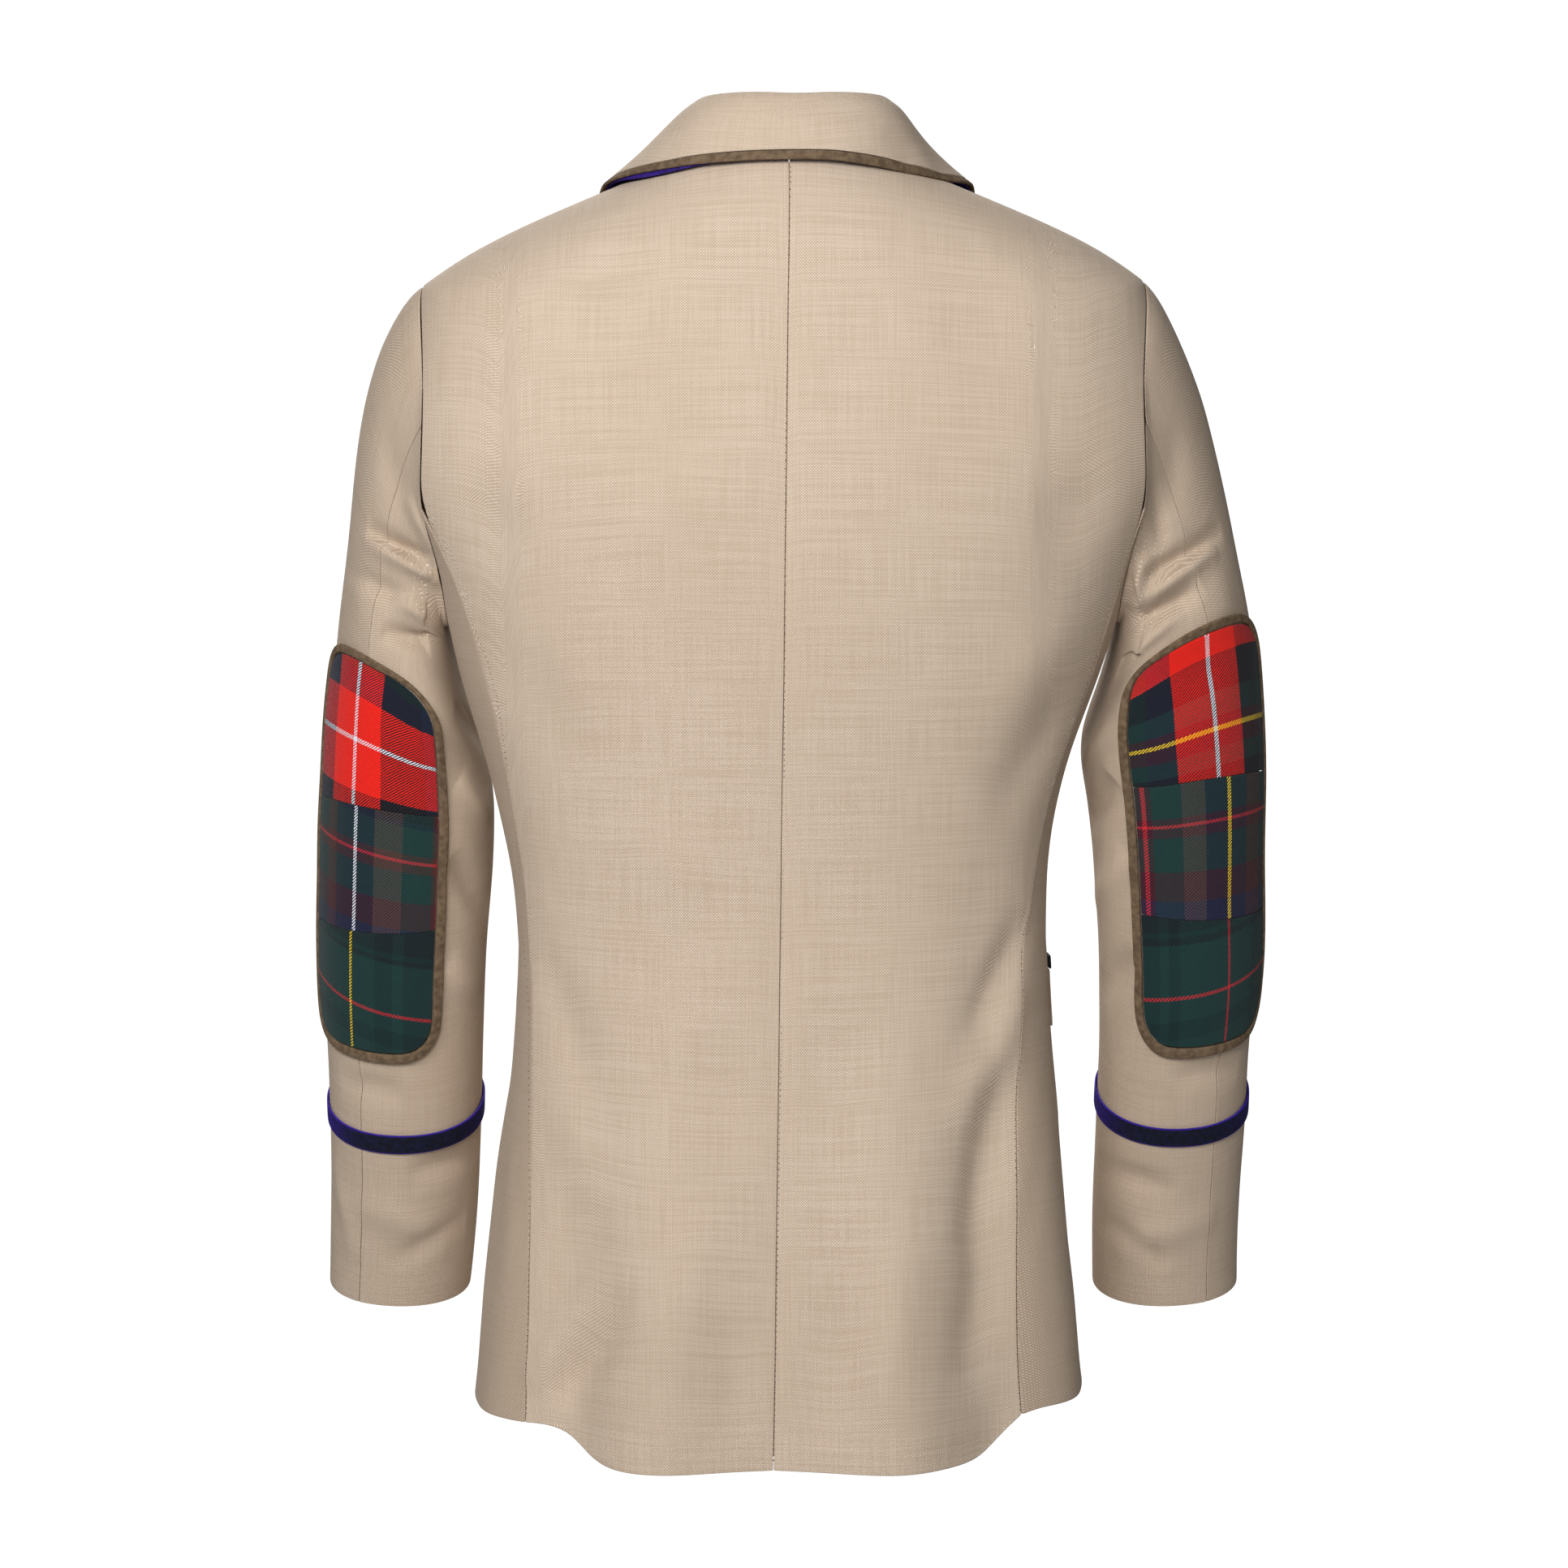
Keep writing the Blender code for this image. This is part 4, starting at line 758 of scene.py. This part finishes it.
COLUMN_STEP, LEVEL_STEP = 0.01, 0.005
COLUMNS, LEVELS = np.arange(-0.24, 0.241, COLUMN_STEP), np.arange(-0.82, 0.045, LEVEL_STEP)
WAIST = 80  # the level that lengths are counted from


def lengths_up(start, side):
    """Tables of how much cloth lies below each level and how deep it is, at the back (1) or front (-1)."""
    trees = [body_trees[BODY_NODES.index(name)] for name in nodes_like(start)]
    lengths, depths = [], []
    for x in COLUMNS:
        depth = []
        for z in LEVELS:
            hits = [tree.ray_cast(Vector((x, side * 0.5, z)), Vector((0, -side, 0)))[0] for tree in trees]
            found = [side * hit.y for hit in hits if hit is not None]
            depth.append(max(found) if found else (depth[-1] if depth else 0.1))
        depths.append(depth)
        lengths.append(np.concatenate([[0], np.cumsum(np.hypot(np.diff(LEVELS), np.diff(depth)))]))
    lengths = np.array(lengths)
    return lengths - lengths[:, [WAIST]], np.array(depths)


def between(table, x, z):
    """The table's value between its columns and levels."""
    column = np.clip((x - COLUMNS[0]) / COLUMN_STEP, 0, len(COLUMNS) - 1.001)
    level = np.clip((z - LEVELS[0]) / LEVEL_STEP, 0, len(LEVELS) - 1.001)
    i, j = column.astype(int), level.astype(int)
    s, t = column - i, level - j
    return ((1 - s) * ((1 - t) * table[i, j] + t * table[i, j + 1])
            + s * ((1 - t) * table[i + 1, j] + t * table[i + 1, j + 1]))


UP = {"back_": (1, *lengths_up("back_", 1)), "front_": (-1, *lengths_up("front_", -1))}


def body_uv(points, node):
    """Backs and fronts are measured up the cloth, over the shoulder; the rest is taken as it lies."""
    if node.startswith("side_"):
        return points[:, [1, 2]]
    for start, (side, lengths, depths) in UP.items():
        if node.startswith(start):
            x, y, z = points.T
            rise = between(lengths, x, z) + between(depths, x, z) - side * y
            return np.stack([x, rise], axis=1)
    return points[:, [0, 2]]


def side_of(node):
    return 1 if node.endswith("left") else -1


def sleeve_turns(points, node):
    kind = next(kind for kind in STRETCHES if node.startswith(kind))
    return lookups[(kind, side_of(node))](points)


def sleeve_out(points, node):
    """Away from the middle of the sleeve's ring at each point."""
    side, places = side_of(node), sleeve_turns(points, node)
    reaches = np.linspace(0, SLEEVE_LENGTH, RING_COUNT)
    rings = [sleeve_ring(side, reach) for reach in reaches]
    middles = np.array([(side * middle[0], row["middle_y"], middle[1]) for row, middle, _ in rings])
    centre = np.stack([np.interp(places[:, 1], reaches, middles[:, k]) for k in range(3)], axis=1)
    return unit(points - centre)


def sleeve_uv(points, node):
    round_arm, down = sleeve_turns(points, node).T
    return np.stack([np.radians(round_arm) * SLEEVE_RADIUS, -down], axis=1)


# %% Places on a patch and on a velvet band
Patch = namedtuple("Patch", "outer_start inner_start end outer_turn inner_turn")
PATCHES = {1: Patch(0.232, 0.178, 0.482, 12, 119), -1: Patch(0.216, 0.138, 0.478, 12, 125)}
BAND_TOP = {1: 0.535, -1: 0.530}


def patch_uv(points, node):
    side, places = side_of(node), sleeve_turns(points, node)
    patch = PATCHES[side]
    across = (places[:, 0] - patch.outer_turn) / (patch.inner_turn - patch.outer_turn)
    start = patch.outer_start + (patch.inner_start - patch.outer_start) * across
    down = (places[:, 1] - start) / (patch.end - start)
    return np.stack([across * PATCH_WIDTH["left" if side > 0 else "right"], -down * PATCH_LENGTH], axis=1)


def band_uv(points, node):
    round_arm, down = sleeve_turns(points, node).T
    return np.stack([np.radians(round_arm) * SLEEVE_RADIUS, down - BAND_TOP[side_of(node)]], axis=1)


# %% Dressing one node
pieces = {}


def link_mesh(name, mesh, *finishes):
    for finish in finishes:
        mesh.materials.append(finish)
    thing = bpy.data.objects.new(name, mesh)
    scene.collection.objects.link(thing)
    return thing


def keep(thing, node=None):
    """Puts a finished piece on the jacket's one body, in the place of a solid where it has one."""
    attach(thing, "root")
    if node:
        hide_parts(node)
    print("%-28s %6d faces" % (thing.name, len(thing.data.polygons)))


def dress(node, finish, out, uv, creases, rounding=0.0007, levels=2, uneven=WAVE_HEIGHT, sink=None):
    mesh = soft_mesh(node, rounding, levels)
    points = coordinates(mesh)
    move = crease_height(points, fields[creases]) + unevenness(points, uneven)
    if sink:
        move -= sink(points)
    points += out(points, node) * move[:, None]
    mesh.vertices.foreach_set("co", points.ravel())
    mesh.update()
    lay_uv(mesh, uv(points, node))
    mesh.materials.clear()
    mesh.shade_smooth()
    mesh.name = node + "_cloth"
    pieces[node] = link_mesh(node + "_cloth", mesh, finish)
    keep(pieces[node], node)


# %% [markdown]
# ## The body
#
# Two backs meet at the centre-back seam. A narrow side panel and a front follow on each side, and
# the fronts are turned back as lapels.

# %% Body pieces
FLAP_SINK = 0.0011  # a pressed flap lies this much closer to the front

# The side panels and the pocket flaps wear the copy of the cloth that is painted darker, as painted shade.
for end in ("left", "right"):
    for part, finish in (("back_", cloth), ("side_", shaded_side_cloth), ("front_", cloth), ("lapel_", cloth)):
        dress(part + end, finish, body_out, body_uv, "body")
    dress("pocket_flap_" + end, shaded_side_cloth, body_out, body_uv, "body",
          sink=lambda points: FLAP_SINK)
    dress("pocket_welt_" + end, welt, body_out, body_uv, "body")

# %% [markdown]
# ## The sleeves and what is sewn on them
#
# A top and an under sleeve make a tube. The patch and the velvet band are moved by the same creases
# as the sleeve beneath them, so they stay on it wherever it folds.

# %% Sleeve pieces
# The sleeves wear the copy of the cloth that is painted darker, as painted shade.
for end in ("left", "right"):
    for part in ("sleeve_top_", "sleeve_under_"):
        dress(part + end, shaded_sleeve_cloth, sleeve_out, sleeve_uv, end, rounding=0.0011, levels=3)
    for part, slot in (("upper_", "red_tartan"), ("middle_", "blue_tartan"), ("lower_", "green_tartan")):
        node = "patch_" + part + end
        dress(node, checks[node], sleeve_out, patch_uv, end, rounding=0.0006)
    dress("patch_binding_" + end, felt, sleeve_out, patch_uv, end, rounding=0.0011)
    dress("sleeve_band_" + end, ribbon, sleeve_out, band_uv, end, rounding=0.0004)

# %% [markdown]
# ## The collar
#
# The collar stands up from the neck seam, rolls over and falls. Its edge is bound, and the velvet
# undercollar shows a sliver below the binding where the collar has slipped askew.

# %% Collar pieces
SETTLED = 0.0075


def collar_sink(points):
    """Behind the wearer's right shoulder the collar's edge has settled on the cloth."""
    right = np.clip((-points[:, 0] - 0.030) / 0.050, 0, 1)
    behind = np.clip((points[:, 1] + 0.010) / 0.040, 0, 1)
    low = np.clip((0.030 - points[:, 2]) / 0.035, 0, 1)
    return SETTLED * right * behind * low


for node, slot, finish in (("collar_fall", "jacket_cloth", cloth), ("collar_stand", "jacket_cloth", cloth),
                           ("collar_binding", "brown_felt", felt), ("undercollar", "purple_velvet", velvet)):
    dress(node, finish, collar_out, collar_uv, "collar", rounding=0.0006, uneven=0.0003,
          sink=collar_sink)

# %% [markdown]
# ## Buttons
#
# A horn button is turned on a lathe, so its outline is spun round. Four holes are cut through it and
# a cross of thread holds it on.

# %% Button shape
BUTTON_PROFILE = ((0.0, 0.0), (0.55, 0.0), (0.86, 0.10), (0.97, 0.28), (1.0, 0.50), (0.97, 0.78),
                  (0.90, 0.95), (0.82, 0.97), (0.74, 0.84), (0.62, 0.76), (0.0, 0.74))
HOLE_RADIUS, HOLE_REACH, DIMPLE = 0.0011, 0.0015, 0.74
CROSS_SIZE = (0.0026, 0.00045, 0.00055, 1)


def mesh_of(bm, name):
    mesh = bpy.data.meshes.new(name)
    bm.to_mesh(mesh)
    bm.free()
    return mesh


def make_button(node):
    low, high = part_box(node)
    centre, radius, thick = (low + high) / 2, (high.x - low.x) / 2, high.y - low.y
    bm = bmesh.new()
    ring = [bm.verts.new((radius * r, -thick * d, 0)) for r, d in BUTTON_PROFILE]
    line = [bm.edges.new(pair) for pair in zip(ring, ring[1:])]
    bmesh.ops.spin(bm, geom=ring + line, cent=(0, 0, 0), axis=(0, 1, 0), angle=2 * math.pi, steps=48,
                   use_merge=True)
    bmesh.ops.remove_doubles(bm, verts=bm.verts, dist=WELD)
    bmesh.ops.recalc_face_normals(bm, faces=bm.faces)
    bmesh.ops.translate(bm, verts=bm.verts, vec=(centre.x, high.y, centre.z))
    button = link_mesh(node + "_horn", mesh_of(bm, node + "_horn"), horn)
    bm = bmesh.new()
    for dx, dz in ((1, 1), (1, -1), (-1, 1), (-1, -1)):
        drill = Matrix.Translation((centre.x + dx * HOLE_REACH, centre.y, centre.z + dz * HOLE_REACH))
        bmesh.ops.create_cone(bm, cap_ends=True, segments=16, radius1=HOLE_RADIUS, radius2=HOLE_RADIUS,
                              depth=thick * 3, matrix=drill @ Matrix.Rotation(math.pi / 2, 4, "X"))
    drills = link_mesh("drills", mesh_of(bm, "drills"))
    cut = button.modifiers.new("holes", "BOOLEAN")
    cut.object, cut.solver = drills, "EXACT"
    mesh = bpy.data.meshes.new_from_object(button.evaluated_get(bpy.context.evaluated_depsgraph_get()))
    button.modifiers.clear()
    button.data = mesh
    bpy.data.objects.remove(drills)
    mesh.shade_smooth()
    keep(button, node)


def make_cross(node):
    """Two threads that cross between the holes."""
    low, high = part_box(node)
    place = Matrix.Translation(((low.x + high.x) / 2, high.y + (low.y - high.y) * DIMPLE,
                                (low.z + high.z) / 2))
    bm = bmesh.new()
    for angle in (45, -45):
        lay = place @ Matrix.Rotation(math.radians(angle), 4, "Y") @ Matrix.Diagonal(CROSS_SIZE)
        bmesh.ops.create_uvsphere(bm, u_segments=16, v_segments=8, radius=1.0, matrix=lay)
    cross = link_mesh(node + "_thread", mesh_of(bm, node + "_thread"), thread)
    cross.data.shade_smooth()
    keep(cross)


for node in ("button_1", "button_2"):
    make_button(node)
    make_cross(node)

# %% [markdown]
# ## Stitches in the seams
#
# The pieces meet at a fine dark line. Behind it the cloth's edges are turned in, as an allowance that
# closes the gap. Every few millimetres a stitch pulls the two edges together, so the line looks
# dotted. The stitches are small beads of thread laid along the seams. Rays from the camera, one to
# each side of a seam, find where it runs. At the seams between side and front, which the camera doesn't
# see, rays look inwards level by level. An allowance starts as one short edge, which is extruded along
# the seam and made solid.

# %% Seam lines, by pixel
SEAMS = {
    "centre_back": [(974, 200), (968, 560), (966, 966), (962, 1300), (957, 1600), (953, 1806)],
    "side_back_left": [(530, 640), (567, 728), (600, 814), (613, 868), (621, 921), (636, 1025), (643, 1125),
                       (651, 1242), (652, 1400), (652, 1560), (649, 1683), (649, 1745)],
    "side_back_right": [(1406, 640), (1381, 730), (1340, 842), (1321, 904), (1289, 1000), (1271, 1103),
                        (1261, 1182), (1258, 1290), (1253, 1400), (1253, 1560), (1253, 1672), (1257, 1745)]}
STITCH_STEP, STITCH_SIZE, TRACK_GAP = 0.0034, (0.000352, 0.00022, 0.00055, 1), 0.004
ALLOWANCE_WIDTH, ALLOWANCE_DEPTH, ALLOWANCE_THICK = 0.012, 0.0026, 0.0006
SEAM_STEPS, ALLOWANCE_SKIP, PIXELS_ASIDE, SEAM_GAP = 600, 8, 2.5, 0.010


def seam_track(pixels, trees):
    """Points along a seam, each with the way across it, from the cloth a pixel or two to each side."""
    steps, track = np.arange(len(pixels)), []
    for t in np.linspace(0, len(pixels) - 1, SEAM_STEPS):
        column, row = [np.interp(t, steps, values) for values in zip(*pixels)]
        near, far = [on_cloth((column + aside, row), trees) for aside in (-PIXELS_ASIDE, PIXELS_ASIDE)]
        if near and far and (near - far).length < SEAM_GAP:
            track.append(((near + far) / 2, (near - far).normalized()))
    return track


def sewn(bm, name, kind, finish):
    """Moves loose work with the cloth that it belongs to, and keeps it."""
    points = np.array([vert.co for vert in bm.verts])
    lift = crease_height(points, fields["body"]) + unevenness(points)
    for vert, co in zip(bm.verts, points + body_out(points, name) * lift[:, None]):
        vert.co = co
    work = link_mesh(name + kind, mesh_of(bm, name + kind), finish)
    keep(work)
    return work


def stitches(name, track):
    bm = bmesh.new()
    last = track[0][0]
    for (here, _), (after, _) in zip(track, track[1:]):
        if (here - last).length < STITCH_STEP or (after - here).length > TRACK_GAP:
            continue
        last = here
        turn = (after - here).to_track_quat("Z", "Y").to_matrix().to_4x4()
        lay = Matrix.Translation(here) @ turn @ Matrix.Diagonal(STITCH_SIZE)
        bmesh.ops.create_icosphere(bm, subdivisions=1, radius=1.0, matrix=lay)
    sewn(bm, name, "_stitches", thread)


def allowance(name, track):
    bm = bmesh.new()
    edge = None
    for here, across in track:
        middle = here - Vector(body_out(np.array([here]), name)[0]) * ALLOWANCE_DEPTH
        ends = [middle + across * ALLOWANCE_WIDTH / 2, middle - across * ALLOWANCE_WIDTH / 2]
        if edge is None:
            edge = bm.edges.new([bm.verts.new(end) for end in ends])
            continue
        before = list(edge.verts)
        made = bmesh.ops.extrude_edge_only(bm, edges=[edge])["geom"]
        edge = next(g for g in made if isinstance(g, bmesh.types.BMEdge) and not set(g.verts) & set(before))
        verts = sorted(edge.verts, key=lambda vert: (vert.co - before[0].co).length)
        for vert, end in zip(verts, ends):
            vert.co = end
    bmesh.ops.solidify(bm, geom=bm.faces[:], thickness=ALLOWANCE_THICK)
    strip = sewn(bm, name, "_allowance", cloth)
    lay_uv(strip.data, body_uv(coordinates(strip.data), name))


for name, pixels in SEAMS.items():
    track = seam_track(pixels, body_trees)
    stitches(name, track)
    allowance(name, track[::ALLOWANCE_SKIP])


# %% The seams between side and front
LEVEL_GAP, HALVINGS = 0.015, 14


def seam_between(node, other, on_node, on_other):
    """Points where two pieces of the body meet, found by rays that look inwards, level by level."""
    trees = [body_trees[BODY_NODES.index(name)] for name in (node, other)]
    low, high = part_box(node)
    track = []
    for level in np.arange(low.z + 0.004, high.z - 0.012, LEVEL_GAP):
        here, there, spot = on_node, on_other, None
        for _ in range(HALVINGS):
            angle = math.radians((here + there) / 2)
            out = Vector((math.cos(angle), math.sin(angle), 0))
            hits = [tree.ray_cast(Vector((0, 0, level)) + out * 0.5, -out) for tree in trees]
            far = [9.0 if hit[0] is None else hit[3] for hit in hits]
            if far[0] <= far[1]:
                here, spot = math.degrees(angle), hits[0][0] or spot
            else:
                there = math.degrees(angle)
        if spot is not None:
            track.append((spot, Vector((-out.y, out.x, 0))))
    return track


for end, on_node, on_other in (("left", 0, -80), ("right", 180, 260)):
    allowance("side_front_" + end, seam_between("side_" + end, "front_" + end, on_node, on_other))

# %% [markdown]
# ## What each cloth was cut to
#
# Every piece is a sheet of cloth, so its cut is worked out and printed: how wide and how long the part
# of it that shows would be when laid flat. A wall has two skins, so half of its whole surface is the cloth's
# area.


# %% Measuring the sheets
FULL, USUAL, SPARSE, LEAST = 0.98, 0.85, 0.55, 0.31  # how much of its rectangle a piece may fill
LEAST_SIDE = 0.0105


def declare(node, held, rests_on, *with_pieces):
    piece = pieces[node]
    mesh = piece.data
    area = sum(face.area for face in mesh.polygons) / 2
    places = np.empty(len(mesh.loops) * 2)
    mesh.uv_layers[0].data.foreach_get("uv", places)
    width, length = np.ptp(places.reshape(-1, 2), axis=0)
    fill = area / (width * length)
    if fill > FULL or fill < SPARSE:
        scale = fill / USUAL
        width, length = (width * scale, length) if width < length else (width, length * scale)
    width, length = max(width, LEAST_SIDE), max(length, LEAST_SIDE)
    print("%-20s cut %3.0f x %3.0f mm, %5.0f cm2" % (node, width * 1000, length * 1000, area * 1e4))


for end in ("left", "right"):
    back, front, sleeve = "back_" + end, "front_" + end, "sleeve_top_" + end
    declare(back, "hung", "collar_stand")
    declare("side_" + end, "hung", back)
    declare(front, "hung", back)
    declare("lapel_" + end, "folded", front)
    declare("pocket_flap_" + end, "laid", front, "pocket_welt_" + end)
    declare(sleeve, "hung", back)
    declare("sleeve_under_" + end, "hung", sleeve)
    declare("patch_upper_" + end, "laid", sleeve)
    declare("patch_middle_" + end, "laid", sleeve, "patch_binding_" + end)
    declare("patch_lower_" + end, "laid", sleeve)
    declare("sleeve_band_" + end, "laid", sleeve)
declare("collar_fall", "folded", "collar_stand", "collar_binding")
declare("collar_stand", "folded", "back_left")
declare("undercollar", "folded", "back_left")
